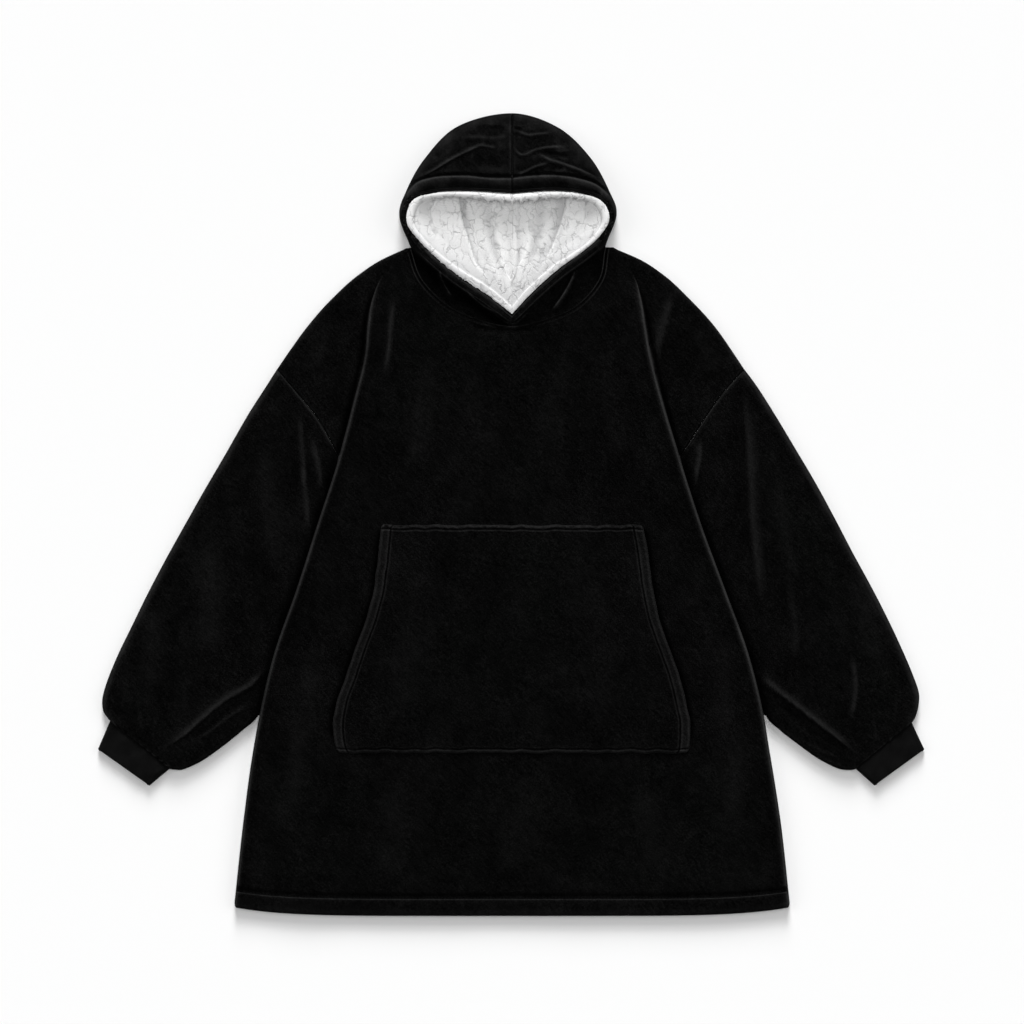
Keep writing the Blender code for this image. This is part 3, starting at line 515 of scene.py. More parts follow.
# The body's front and back.
body = {
    "wall": 5.0, "floor": 5.3, "low": 9.3, "top": 12.0, "shoulder": 11.5, "edgeRoll": 12.0, "foldRoll": 2.4,
    "hemY": -522.6, "hemRise": 11.0, "hemPower": 6, "halfHem": 360.0, "levelY": -300.0,
    "hemCorner": 2.6, "cornerReach": 7.0, "armpitY": 74.0, "notchY": 188.0,
    "foldRaise": 4.4, "foldWidth": 8.0, "foldDepth": 2.0,
    "trough": 2.6, "troughAt": -2.0, "troughWidth": 6.0,
    # the fold along the side ends over this length, and at the hem it keeps a share of its height
    "foldEndY": 312.0, "foldEnd": 60.0, "hemFold": 30.0, "hemFoldShare": 0.3,
    "shoulderEase": 14.0, "settle": 20.0,
    # hem: raised above its stitches, its crest's height and widths below and above it, and
    # height, place and width of the grooves
    "hemStitch": 23.4, "hemBand": 0.5, "hemEase": 1.6, "hemCrest": 20.8, "hemLip": (0.25, 1.5, 3.2),
    "hemRows": ((-0.6, 26.5, 3.0), (-0.5, 23.4, 0.9)),
    # height, length, seed, and stretch of the waves, and the depth where they are whole
    "waves": (0.55, 120, 3, 1.8), "wavesFrom": 30.0, "crumple": (0.06, 22, 5),
    # ridges beside the neck seam and inside the armhole seam: height, distance, width
    "neckRows": ((0.5, 0.9, 1.2), (-0.5, 3.2, 1.3), (0.4, 5.8, 1.4)), "neckRowsFrom": 180.0,
    "armRows": ((-0.3, 0.0, 1.4), (0.2, 3.0, 2.4)),
    # y, left edge, right edge
    "edge": ((-521, 361.3, 361.5), (-400, 348.8, 348.8), (-309, 336.8, 335), (-250, 326, 325),
             (-180, 309, 307), (-100, 281, 278), (-16, 254, 247), (74, 225, 218), (150, 205, 195),
             (210, 191, 180), (245, 188, 174), (275, 183, 169), (310, 168, 158), (346, 135, 132)),
    # y, left x, right x: the armhole seam, then the shoulder's outline
    "seam": ((74, 225, 218), (98, 237.5, 234), (122, 251, 249), (156, 278, 273), (188, 305.5, 302)),
    "outline": ((188, 305.5, 302), (213, 288.5, 285.5), (247, 263.5, 261), (280, 234, 230.5),
                (313, 196.8, 194.2), (330, 170.8, 168.2), (346, 136, 131.5)),
    "foldLight": (0.06, 0.11),
    # height, width left and right of the crest line as it runs, its points
    "folds": (
        (3.4, 5, 6, ((-154, 290), (-156, 262), (-158.5, 226), (-165, 165))),
        (-2.0, 6, 6, ((-168, 270), (-171, 226), (-178, 180))),
        (-2.2, 3, 3, ((-60, 247), (-44, 243), (-20, 240), (8, 239), (30, 242), (44, 246))),
        (0.9, 4, 4, ((-52, 249), (-20, 244.5), (8, 243.5), (38, 248))),
        (2.0, 22, 14, ((-108, 200), (-118, 120), (-132, 50))),
        (-1.6, 14, 18, ((-138, 190), (-150, 110), (-160, 30))),
        (1.8, 26, 20, ((120, 190), (130, 120), (142, 60))),
        (-1.6, 16, 16, ((92, 200), (104, 120), (112, 40))),
        (1.2, 26, 26, ((-40, 205), (-52, 110), (-60, 20))),
        (1.2, 26, 26, ((62, 210), (56, 110), (50, 20))),
        (3.5, 8, 11, ((209, 292), (198, 251), (188.5, 213), (186, 185))),
        (2.2, 20, 16, ((-258, -140), (-276, -270), (-292, -430))),
        (-1.4, 14, 14, ((-232, -330), (-250, -420), (-262, -480))),
        (2.2, 18, 22, ((262, -130), (280, -270), (296, -440))),
        (1.8, 26, 24, ((-150, -335), (-156, -400), (-162, -485))),
        (1.6, 30, 28, ((18, -330), (14, -400), (8, -480))),
        (1.8, 24, 28, ((168, -335), (176, -400), (186, -485))),
        (-1.4, 22, 22, ((-70, -340), (-76, -480))),
        (-1.4, 22, 22, ((92, -340), (100, -480))),
        (1.4, 10, 12, ((-232, 255), (-246, 215), (-262, 180))),
        (1.6, 12, 10, ((236, 250), (250, 214), (268, 176))),
        (-1.5, 8, 8, ((-214, 205), (-232, 150), (-238, 110))),
        (-1.4, 8, 8, ((222, 200), (232, 150), (236, 112))),
    ),
}


def bodyEdge(side, y):
    # How far out the body's side is at a height of the picture.
    return smoothCurve(column(body["edge"], 0), column(body["edge"], 1 if side == left else 2), y)


def shoulderEdge(side, y):
    # The same for the armhole seam, and above its notch for the shoulder's outline.
    which = 1 if side == left else 2
    seam = smoothCurve(column(body["seam"], 0), column(body["seam"], which), y)
    top = smoothCurve(column(body["outline"], 0), column(body["outline"], which), y)
    return np.where(np.asarray(y) <= body["notchY"], seam, top)


def hemLift(x, y):
    # The hem rises towards its corners with a power of x, the rows above it less and less.
    share = within((body["levelY"] - y) / (body["levelY"] - body["hemY"]))
    return body["hemRise"] * np.abs(x / body["halfHem"]) ** body["hemPower"] * share


hood = {
    "gap": 0.3, "wall": 2.5, "seamTop": 11.0, "neckBand": 11.5, "rimRadius": 3.2,
    # left rim x, y, left outline x, y, right rim x, y, right outline x, y, height of the rim
    "sections": (
        (0, 258.7, 0, 244.7, 0, 258.7, 0, 244.7, 15),
        (32, 283.5, 45.5, 254, 29, 289, 44, 253.5, 18),
        (66, 306, 83.5, 272, 62, 318, 84, 272, 21),
        (97.5, 331, 117, 306, 92, 340, 113, 306, 23),
        (122, 355.5, 131.5, 346, 114, 359.5, 121, 347, 25),
        (138.5, 380, 146.5, 387, 128, 383, 136, 389, 27),
        (130.5, 408, 138, 419, 119.6, 405.6, 127, 419, 29),
        (100, 418.0, 113.6, 462, 95, 416.0, 102.2, 463, 32),
        (55, 419.6, 70.5, 504, 53, 419.9, 60, 502.5, 34),
        (0, 416.4, 0, 521, 0, 416.4, 0, 521, 34),
    ),
    "foldLight": (0.12, 0.17), "neckEnd": 4.0, "crownStart": 4.35,
    "backHalf": 118.0, "backNeckY": 322.75, "backRise": 21.0,
    # the turned hem: height, width below and above its line, and the hollow above it; its height
    # at the neck, and how it ends there
    "hemLine": (2.4, 11.0, 1.5), "hemHollow": (-0.5, 4.0, 2.2), "neckHem": 2.2, "neckEase": 4.0,
    "hemFrom": (14.0, 8.0), "middleSeam": (-1.4, 0.0, 1.4),
    "lumps": ((0.5, 34, 51), (0.12, 12, 53)), "fullWidth": 60.0,
    "folds": (
        (1.8, 4, 2.2, ((-121, 439), (-105, 445.5), (-80.6, 460), (-58, 471.5), (-41.6, 479), (-30, 484))),
        (1.1, 3, 2.2, ((-45, 479), (-34, 478), (-20, 475))),
        (-2.0, 7, 7, ((-54, 462), (-30, 459), (-8, 456))),
        (1.0, 6, 6, ((-50, 448), (-26, 446), (-3, 446))),
        (-1.4, 5, 5, ((-48, 502), (-26, 502.5), (-6, 502))),
        (1.0, 4, 4, ((-68, 489), (-44, 490), (-22, 489), (-3, 493))),
        (-0.9, 6, 6, ((-64, 483), (-48, 482), (-36, 484))),
        (0.9, 8, 8, ((-98, 470), (-84, 484), (-66, 496))),
        (1.2, 2.2, 3, ((2, 500), (10.4, 496.7), (20, 493), (34, 494), (54, 497))),
        (-1.2, 3, 3, ((2, 503), (8, 501), (14, 500))),
        (-1.3, 8, 8, ((10, 486), (30, 484), (56, 486))),
        (1.3, 2.2, 2.6, ((1.5, 480), (10, 467.5), (17, 467), (27, 472), (42, 476), (72, 477.5))),
        (1.8, 2.2, 4, ((31, 471), (44.5, 462.7), (64, 456), (90, 446.4), (116, 434))),
        (-2.2, 4, 4, ((36, 472), (54, 468), (76, 466))),
        (1.5, 3, 2.2, ((1, 440.5), (10, 441.5), (27, 449.7), (50, 457))),
        (0.9, 4, 4, ((48, 441), (62, 445), (74, 449))),
        (0.9, 8, 8, ((70, 496), (84, 486), (98, 470))),
    ),
    "neckFolds": (
        (2.6, 2.2, 6, ((-95, 318), (-92, 306), (-86, 294), (-77, 280))),
        (1.6, 2.0, 5, ((-60, 290), (-52, 282), (-36, 270), (-18, 259))),
        (2.8, 6, 2.2, ((84, 321), (79, 308), (70, 290), (60, 275), (50, 262))),
    ),
    # The upper line of the turned hem over the forehead, left and right.
    "leftBand": ((-136, 418), (-123, 430), (-105, 435.8), (-80.6, 438.2), (-56, 438.2), (-32, 435.8),
                 (0, 435.3)),
    "rightBand": ((0, 435.3), (24.7, 438.2), (65.7, 438.2), (88.4, 434.2), (108, 427.7), (124, 416)),
}


def hoodCurve(side, which, a):
    # Rim or outline of the hood at section a: distance from the middle, and y.
    first = (0 if side == left else 4) + (0 if which == "rim" else 2)
    stations = np.arange(len(hood["sections"]))
    x = smoothCurve(stations, column(hood["sections"], first), a)
    y = smoothCurve(stations, column(hood["sections"], first + 1), a, level=which == "outline")
    return x, y


def rimHeight(a):
    # The rim's height at section a.
    return smoothCurve(np.arange(len(hood["sections"])), column(hood["sections"], 8), a)


def neckLine(side):
    # The outline's points along the neck.
    x, y = hoodCurve(side, "outline", np.linspace(0, hood["neckEnd"], 40))
    return np.stack([side * x, y], axis=1)


def bodyHeight(side, x, y, aboveHem):
    # Top of the front panel at distance x from the middle. Inside the body's edge: the panel, the
    # fold along that edge, and the table's folds, rolled down to the edge below the armpit and
    # eased down to the shoulder above it. Outside: the shoulder, with a trough beside the fold.
    depth = bodyEdge(side, y) - x
    fade = within((body["foldEndY"] - y) / body["foldEnd"])
    fade = fade * np.clip(aboveHem / body["hemFold"], body["hemFoldShare"], 1)
    swell = foldRise(body["folds"], side * x, y + hemLift(x, y))
    height, length, seed, stretch = body["waves"]
    waves = ripples(side * x, y, length, seed, stretch=stretch)
    swell = swell + height * waves * within(depth / body["wavesFrom"])
    height, length, seed = body["crumple"]
    swell = swell + height * ripples(side * x, y, length, seed)
    hemline = aboveHem - body["hemCrest"]
    height, above, below = body["hemLip"]
    band = body["hemBand"] * ease((body["hemStitch"] - aboveHem) / body["hemEase"])
    band = band + height * ridge(hemline, np.where(hemline > 0, above, below))
    band = band + ridges(aboveHem, body["hemRows"])
    top = body["top"] + swell + band
    top = top + body["foldRaise"] * fade * ridge(depth - body["foldDepth"], body["foldWidth"])
    under = body["low"] + (top - body["low"]) * roll(depth, body["foldRoll"])
    over = body["shoulder"] + (top - body["shoulder"]) * roll(depth, body["foldRoll"]) * fade
    over = over + (top - body["shoulder"]) * ease(depth / body["shoulderEase"]) * (1 - fade)
    outside = body["shoulder"] + swell
    outside = outside - body["trough"] * fade * ridge(depth - body["troughAt"], body["troughWidth"])
    settle = ease((y - body["armpitY"]) / body["settle"])
    z = np.where(depth >= 0, under * (1 - settle) + over * settle, outside)
    return body["low"] + (z - body["low"]) * roll(aboveHem, body["edgeRoll"])


def bodyRows(side):
    # From the hem to the neck: nominal y, distance above the hem, and the neck's x, or 0 below it.
    hem = np.array([0, 0, 0.3, 0.9, 1.8, 3, 4.6, 6.6, 9, 12, 15, 17.6, 19, 20, 20.8, 21.6, 22.6,
                    23.4, 24.2, 25.4, 26.6, 28, 30])
    a = np.r_[np.linspace(0, 1, 14)[:-1], np.linspace(1, hood["neckEnd"], 40)]
    x, y = hoodCurve(side, "outline", a)
    plain = np.r_[np.linspace(body["hemY"] + 32.5, body["armpitY"], 150)[:-1],
                  np.linspace(body["armpitY"], body["notchY"], 32)[:-1],
                  np.linspace(body["notchY"], y[0] - 1.2, 16)]
    levels = np.r_[body["hemY"] + hem, plain, y - hood["gap"]]
    above = np.r_[hem, plain - body["hemY"], y - body["hemY"]]
    neck = np.r_[np.zeros(len(hem) + len(plain)), x + hood["gap"] * (x > 0)]
    return levels, above, neck


def cornerCut(above):
    # The hem's corners are rounded: the edge draws in over the last few millimetres.
    return body["hemCorner"] * within(1 - above / body["cornerReach"]) ** 2


def frontHalf(side):
    # Two grids of points: from the body's edge to the middle or the neck, and from the shoulder's
    # rim to the body's edge. The first row and column stand on the back panel. Rows are closest
    # where the cloth rolls down to an edge.
    y, above, neck = bodyRows(side)
    edge = bodyEdge(side, y) - cornerCut(above)
    near = np.array([0, 0, 0.5, 1.3, 2.4, 3.8, 5.5, 7.5, 10, 13, 16.5, 20.5, 25, 30, 36, 43, 51])
    room = np.minimum(1, (edge - neck) / 75)
    far = np.linspace(0, 1, 48)[1:]
    inner = edge[:, None] - near[None] * room[:, None]
    x = np.concatenate([inner, inner[:, -1:] + (neck[:, None] - inner[:, -1:]) * far[None]], axis=1)
    level = np.repeat(y[:, None], x.shape[1], axis=1)
    aboveHem = np.repeat(above[:, None], x.shape[1], axis=1)
    z = bodyHeight(side, x, level, aboveHem)
    beside = nearLine(smoothLine(neckLine(side), 30), side * x, level)[0]
    z = z + np.where(level > body["neckRowsFrom"], ridges(beside, body["neckRows"]), 0)
    z[0] = body["floor"]
    z[y <= body["armpitY"], 0] = body["floor"]
    main = np.stack([side * x, level + hemLift(x, level), z], axis=-1)
    rows = np.where(y >= body["armpitY"])[0]
    rim = shoulderEdge(side, y[rows])
    # Along X, a distance is longer where the outline slants.
    slope = np.where(y[rows] > body["notchY"], 0.75, 1.0)
    share = np.minimum(1, (rim - edge[rows]) / 40) / slope
    steps = np.array([0, 0, 0.5, 1.3, 2.4, 3.8, 5.5, 8, 11, 15])
    on = np.linspace(0, 1, 22)[1:]
    out = rim[:, None] - steps[None] * share[:, None]
    out = np.concatenate([out, out[:, -1:] + (edge[rows][:, None] - out[:, -1:]) * on[None]], axis=1)
    level = np.repeat(y[rows][:, None], out.shape[1], axis=1)
    height = bodyHeight(side, out, level, level - body["hemY"])
    distance = (rim[:, None] - out) * slope[:, None]
    rolled = body["low"] + (height - body["low"]) * roll(distance, body["edgeRoll"])
    height = np.where(level > body["notchY"], rolled, height + ridges(distance, body["armRows"]))
    height[:, 0] = body["floor"]
    height[:, -1] = z[rows, 1]
    outer = np.stack([side * out, level, height], axis=-1)
    outer[0] = main[rows[0], 1]
    main[rows, 0] = main[rows, 1]
    if side == right:
        main, outer = main[:, ::-1], outer[:, ::-1]
    return main, outer


pocket = {
    "wall": 3.0, "gap": 0.3, "topY": -14.4, "bottomY": -310.5, "bandRise": 0.4, "hem": 12.8,
    "topStitch": 5.2, "bottomStitch": 5.2, "sideEase": 2.0, "topEase": 1.5, "cornerCut": 3.5,
    "bottomCorner": 5.0, "topCorner": 4.0, "edgeRoll": 3.0, "sunk": 0.4, "foldsFrom": 25.0,
    # pressed lines beside the stitches: height, distance from the stitches, width
    "sideRows": ((-0.8, 0.0, 1.0), (0.35, 2.6, 1.3)), "topRows": ((-0.7, 0.0, 1.0), (0.4, 2.6, 1.3)),
    "bottomRows": ((-0.8, 0.0, 1.1),),
    # height, length, seed and reach of puckers along the seams and of the edges' wandering
    "pucker": (0.5, 9, 11), "topPucker": 8.0, "bottomPucker": 9.0, "bottomShare": 0.7,
    "wander": (0.35, 26, 17), "wanderReach": 20.0, "sway": (0.8, 24, 23), "swayReach": 16.0,
    # y, left edge, right edge
    "sides": ((-309, 227.5, 230), (-294, 231.4, 231.4), (-269, 232, 231.4), (-248, 229, 227),
              (-214.5, 217, 219), (-175.5, 204, 205), (-138, 190, 192), (-96, 179.4, 183),
              (-58, 174.2, 178), (-18, 170.3, 171)),
    "folds": (
        (1.8, 30, 26, ((-110, -40), (-130, -150), (-150, -280))),
        (1.6, 26, 30, ((96, -40), (112, -150), (130, -285))),
        (-1.2, 24, 24, ((-10, -60), (-14, -170), (-8, -280))),
        (1.4, 18, 12, ((-150, -40), (-160, -90), (-168, -130))),
        (1.4, 12, 18, ((158, -40), (164, -90), (172, -130))),
    ),
}


frontLight = {
    # painted shadow beside the pocket's open sides: strength, width, reach under them, length at both ends
    "pocket": (1.1, 5.0, 12.0), "pocketBottom": (4.0, 30.0), "pocketTop": 12.0,
    # painted highlight on the rolled edges: strength, the same added above upperY, width; on the
    # right a thin painted line more: strength, added above upperY, width
    "leftRoll": (0.16, 0.16, 6.5), "rightRoll": (0.30, 0.0, 10.0), "rightLine": (0.10, 0.30, 2.0),
    "upperY": -230.0, "upper": 60.0, "rollEndY": 320.0, "rollEnd": 40.0,
    # share, length and seed of their unevenness
    "uneven": ((0.18, 60, 81), (0.1, 16, 83)),
    # painted shade along the armhole seam: height, distance, width; painted highlight on the shoulder's
    # outline: strength, width
    "armSeam": (-0.5, 0.0, 1.5), "shoulder": 0.26, "shoulderWidth": 10.0,
    # painted shadow on the shoulder beside the fold: strength, distance, width, its length at both ends
    "beside": (0.9, 1.5, 5.0), "besideFrom": 12.0, "besideEndY": 300.0, "besideEnd": 50.0,
    # painted light and shade along the hem: strength, distance above the hem, width
    "hem": ((-0.45, 27.5, 3.5), (-0.25, 23.4, 1.2), (0.10, 18.0, 4.0), (0.12, 5.0, 3.5)),
}


def frontShade(x, y, z):
    # Painted highlight on the rolled edges, most on the right fold: share * (1 - depth / width),
    # wandering along them. Painted shadow beside the pocket's open sides and on the shoulder beside
    # the fold; painted light and shade at the armhole seam, the shoulder's outline, the hem and folds.
    look = frontLight
    shade = np.zeros(x.shape)
    upper = ease((y - look["upperY"]) / look["upper"])
    for side in (left, right):
        here = side * x > 0
        edge = smoothCurve(column(pocket["sides"], 0), column(pocket["sides"], 1 if side == left else 2), y)
        away = np.abs(x) - edge
        strength, width, reach = look["pocket"]
        start, length = look["pocketBottom"]
        tall = ease((y - pocket["bottomY"] - start) / length)
        tall = tall * ease((pocket["topY"] - y) / look["pocketTop"])
        shade = shade - here * tall * strength * ridge(np.maximum(away, 0), width) * (away > -reach)
        off = np.abs(x) - bodyEdge(side, y)
        uneven = 1 + sum(share * ripples(y, x * 0, length, seed + side)
                         for share, length, seed in look["uneven"])
        strength, more, width = look["leftRoll" if side == left else "rightRoll"]
        glow = (strength + more * upper) * within(1 + off / width)
        if side == right:
            strength, more, width = look["rightLine"]
            glow = glow + (strength + more * upper) * np.exp(np.minimum(off, 0) / width)
        glow = glow * within((look["rollEndY"] - y) / look["rollEnd"])
        shade = shade + here * glow * uneven * (off <= 0.01)
        rim = shoulderEdge(side, y) - np.abs(x)
        sewn = (y > body["armpitY"]) & (y <= body["notchY"])
        shade = shade + here * sewn * ridges(rim, (look["armSeam"],))
        edgeLight = look["shoulder"] * within(1 - rim / look["shoulderWidth"])
        shade = shade + here * (y > body["notchY"]) * edgeLight * uneven
        high = ease((y - body["armpitY"]) / look["besideFrom"])
        high = high * within((look["besideEndY"] - y) / look["besideEnd"])
        shade = shade - here * high * ridges(off, (look["beside"],)) * (off > 0)
    aboveHem = y - hemLift(x, y) - body["hemY"]
    return shade + ridges(aboveHem, look["hem"]) + foldLight(body["folds"], x, y, *body["foldLight"])


leftMain, leftOuter = frontHalf(left)
rightMain, rightOuter = frontHalf(right)
frontCloth = gridPiece("front_cloth", (leftMain, leftOuter, rightMain, rightOuter), plush,
                       "front", wall=body["wall"], shade=frontShade)
print("front made")

back = {"edgeRound": 2.4, "neckY": 322.0, "neckRise": 16.0, "neckHalf": 131.0, "lastY": 320.0}


def backGrid():
    # The back panel's outer side lies on the floor: rows from the hem to the neck, columns from
    # edge to edge, the last few at each end turned up in a quarter circle.
    halves = []
    for side in (left, right):
        y = np.r_[body["hemY"] + np.array([0, 0.6, 1.8, 5, 12, 19, 22, 23, 24, 30]),
                  np.linspace(-480, body["notchY"], 60), np.linspace(196, back["lastY"], 15)]
        edge = np.where(y > body["armpitY"], shoulderEdge(side, y), bodyEdge(side, y))
        edge = edge - cornerCut(y - body["hemY"])
        share = np.r_[1, 0.997, 0.991, 0.98, np.linspace(0.95, 0, 26)]
        x = edge[:, None] * share[None]
        level = np.repeat(y[:, None], x.shape[1], axis=1)
        top = float(shoulderEdge(side, back["neckY"] + back["neckRise"]))
        neckTop = back["neckY"] + back["neckRise"] * np.minimum(1, x[-1:] / back["neckHalf"]) ** 2
        x = np.concatenate([x, top * share[None]])
        level = np.concatenate([level, neckTop])
        away = np.minimum(edge[:, None] - x[:-1], (y - body["hemY"])[:, None])
        away = np.concatenate([away, top - x[-1:]])
        z = back["edgeRound"] * (1 - roll(away, back["edgeRound"]))
        halves.append(np.stack([side * x, level + hemLift(x, level), z], axis=-1))
    return halves[0][:, ::-1], halves[1]


backCloth = gridPiece("back_cloth", backGrid(), plush, "back", wall=body["wall"])
print("back made")

# The pocket.

def pocketGrid():
    # The panel under it, moved out by its wall: its hemmed sides and top stand a little higher, its
    # sewn edges roll down, and small puckers run along the seams.
    y = np.r_[pocket["bottomY"] + np.array([0, 0, 0.5, 1.3, 2.4, 3.6, 4.6, 5.6, 6.8, 9, 12]),
              np.linspace(pocket["bottomY"] + 16, pocket["topY"] - 16, 84),
              pocket["topY"] - np.array([12, 9, 7.6, 6.6, 5.6, 4.4, 3, 1.8, 0.9, 0.3, 0, 0])]
    reach = np.r_[0, 0, 0.4, 1, 1.8, 3, 4.6, 6.5, 8.5, 10.4, 11.6, 12.6, 13.6, 14.8, 16.4, 19]
    gap = pocket["gap"]
    halves = []
    for side in (left, right):
        edge = smoothCurve(column(pocket["sides"], 0), column(pocket["sides"], 1 if side == left else 2), y)
        corner = within(1 - (y - pocket["bottomY"]) / pocket["bottomCorner"]) ** 2
        corner = corner + within(1 - (pocket["topY"] - y) / pocket["topCorner"]) ** 2
        edge = edge - pocket["cornerCut"] * corner
        inner = edge[:, None] - reach[None]
        x = np.concatenate([inner, inner[:, -1:] * np.linspace(1, 0, 52)[None, 1:]], axis=1)
        level = np.repeat(y[:, None], x.shape[1], axis=1)
        depth = edge[:, None] - x
        fromTop, fromBottom = pocket["topY"] - level, level - pocket["bottomY"]
        below = bodyHeight(side, x, level, level - body["hemY"])
        swell = foldRise(pocket["folds"], side * x, level)
        for away in (depth, fromTop, fromBottom):
            swell = swell * within(away / pocket["foldsFrom"])
        band = np.maximum(ease((pocket["hem"] - depth) / pocket["sideEase"]),
                          ease((pocket["topStitch"] - fromTop) / pocket["topEase"]))
        z = below + gap + pocket["wall"] + swell + pocket["bandRise"] * band
        height, length, seed = pocket["pucker"]
        pucker = height * ripples(side * x, level, length, seed)
        z = z + pucker * ridge(fromTop, pocket["topPucker"])
        z = z + pocket["bottomShare"] * pucker * ridge(fromBottom, pocket["bottomPucker"])
        z = z + ridges(depth - pocket["hem"], pocket["sideRows"])
        z = z + ridges(fromTop - pocket["topStitch"], pocket["topRows"])
        z = z + ridges(fromBottom - pocket["bottomStitch"], pocket["bottomRows"])
        rim = np.minimum.reduce([roll(away, pocket["edgeRoll"]) for away in (depth, fromTop, fromBottom)])
        z = below + gap + (z - below - gap) * rim
        z[[0, -1]] = below[[0, -1]] - pocket["sunk"]
        z[:, 0] = below[:, 0] - pocket["sunk"]
        # The seams wander a little, as sewn cloth does.
        height, length, seed = pocket["wander"]
        wander = height * ripples(level, x * 0, length, seed + side) * ridge(depth, pocket["wanderReach"])
        height, length, seed = pocket["sway"]
        sway = height * ripples(side * x, level * 0, length, seed)
        sway = sway * ridge(np.minimum(fromTop, fromBottom), pocket["swayReach"])
        half = np.stack([side * (x + wander), level + sway, z], axis=-1)
        halves.append(half if side == left else half[:, ::-1])
    return halves


# Painted highlight on the hemmed sides and how it begins at the stitches and the top; painted shade at the
# very edge.
pocketLight = {"hem": 0.17, "sideEase": 2.0, "topFrom": 3.0, "topEase": 4.0, "edge": (-0.3, 0.0, 2.0)}


def pocketShade(x, y, z):
    # Painted highlight on the hemmed sides below the top, painted shade at the very edge, and painted light
    # and shade on the folds.
    look = pocketLight
    edges = [smoothCurve(column(pocket["sides"], 0), column(pocket["sides"], k), y) for k in (1, 2)]
    depth = np.where(x < 0, edges[0], edges[1]) - np.abs(x)
    hemmed = look["hem"] * ease((pocket["hem"] - depth) / look["sideEase"])
    hemmed = hemmed * ease((pocket["topY"] - y - look["topFrom"]) / look["topEase"])
    hemmed = hemmed + ridges(depth, (look["edge"],))
    return hemmed + foldLight(pocket["folds"] + body["folds"], x, y, *body["foldLight"])


pocketCloth = gridPiece("pocket_cloth", pocketGrid(), plush, "pocket",
                        wall=pocket["wall"] - 1, shade=pocketShade)
print("pocket made")

# Sleeves and cuffs.

sleeve = {
    "wall": 4.0, "edge": 6.2, "tuck": 3.5,
    # left outer x, y, left inner x, y, right outer x, y, right inner x, y, height of the crown;
    # an inner y alone means the body's side
    "sections": (
        (305.5, 188, None, 74, 302, 188, None, 74, 11.5),
        (321, 164, None, 52, 318, 167, None, 52, 13),
        (344, 128, None, 18, 341.5, 130, None, 18, 14),
        (372, 79, None, -26, 368.5, 85, None, -26, 15),
        (400, 31, None, -75, 394.5, 41, None, -75, 15),
        (426.5, -16, None, -125, 419, -4, None, -125, 15),
        (452, -62, None, -175, 443.5, -51, None, -175, 15),
        (474.5, -105, None, -220, 467, -94, None, -220, 15),
        (494.5, -146, 330, -262, 487.5, -134, 330, -262, 15),
        (512, -182, 350, -281, 505.5, -172, 347, -280, 15),
        (526, -216, 376, -302, 520.5, -207, 370, -298, 15),
        (532.7, -240, 403, -321, 529, -232, 398, -318, 15),
        (531.5, -256, 427, -332, 528.5, -250, 424, -331, 14),
        (526, -265, 439, -332.5, 524.5, -264, 440, -333, 13),
        (521.3, -270.4, 445.5, -331.5, 520, -271.7, 447.2, -331.5, 11.5),
    ),
    "leftFolds": (
        (2.8, 2.2, 11, ((-298, -182), (-316, -199), (-341, -224), (-370, -240), (-393, -258),
                        (-425, -286), (-460, -309))),
        (-1.3, 5, 4, ((-330, -234), (-362, -250), (-394, -276), (-430, -299))),
        (0.9, 3, 5, ((-338, -246), (-366, -262), (-392, -281), (-418, -300))),
        (1.8, 5, 8, ((-276, 135), (-273, 90), (-268, 30))),
        (2.2, 5, 8, ((-262, 105), (-251, 61), (-241, 0))),
        (2.0, 5, 8, ((-274, 70), (-267, 18), (-260, -55))),
        (2.2, 22, 18, ((-330, 100), (-316, 10), (-312, -90))),
        (-1.8, 16, 16, ((-352, 60), (-342, -40), (-352, -140))),
        (2.6, 24, 20, ((-396, -20), (-392, -110), (-398, -200))),
        (2.2, 18, 16, ((-462, -110), (-466, -180), (-474, -240))),
        (-1.8, 12, 12, ((-432, -100), (-436, -180), (-440, -250))),
        (0.4, 4, 5, ((-506, -204), (-504, -236), (-506, -264))),
        (0.5, 4, 5, ((-486, -232), (-484, -262), (-481, -292))),
        (0.5, 4, 5, ((-460, -258), (-466, -282), (-466, -304))),
    ),
    "rightFolds": (
        (3.0, 11, 2.2, ((302, -194), (335, -223), (364, -245), (398, -272), (432, -298), (454, -317))),
        (-1.3, 4, 5, ((334, -234), (362, -258), (394, -284), (430, -306))),
        (0.9, 5, 3, ((352, -281), (398, -306), (433, -322))),
        (4.2, 11, 7, ((301, 176), (307, 113.5), (311, 53), (313.5, -12), (318, -55), (330, -148))),
        (-2.0, 9, 9, ((288, 120), (292, 60), (296, 0), (304, -70))),
        (2.4, 5, 9, ((243, 104), (244.5, 79), (240, 53), (234, 18))),
        (2.0, 7, 9, ((356, -70), (368, -146), (369, -200))),
        (1.8, 9, 14, ((344, 60), (356, -30), (376, -110))),
        (-1.8, 12, 12, ((340, -40), (346, -110), (352, -170))),
        (1.8, 5, 8, ((442, -180), (447, -224), (440, -272))),
        (2.4, 20, 16, ((440, -60), (458, -130), (474, -210))),
        (0.4, 4, 5, ((503, -204), (499, -240), (496, -276))),
        (0.5, 4, 5, ((468, -252), (472, -280), (474, -300))),
    ),
    "foldLight": (0.055, 0.15),
    # how far the first ring follows the armhole, and the folds' rise from the edges
    "pull": 1.5, "foldsFrom": 22.0,
    # height, length, seed, and stretch of the waves; height, length, seed and reach of the gathers
    "waves": (0.8, 90, 31, 1.6), "crumple": (0.05, 20, 37), "gathers": (0.6, 9, 45, 1.1), "gathersFrom": 8.0,
    # height, distance and width of the ridges beside the armhole, 24 mm from section to section
    "seamRows": ((-0.5, 0.0, 1.6), (0.3, 3.0, 2.2)), "sectionLength": 24.0,
}


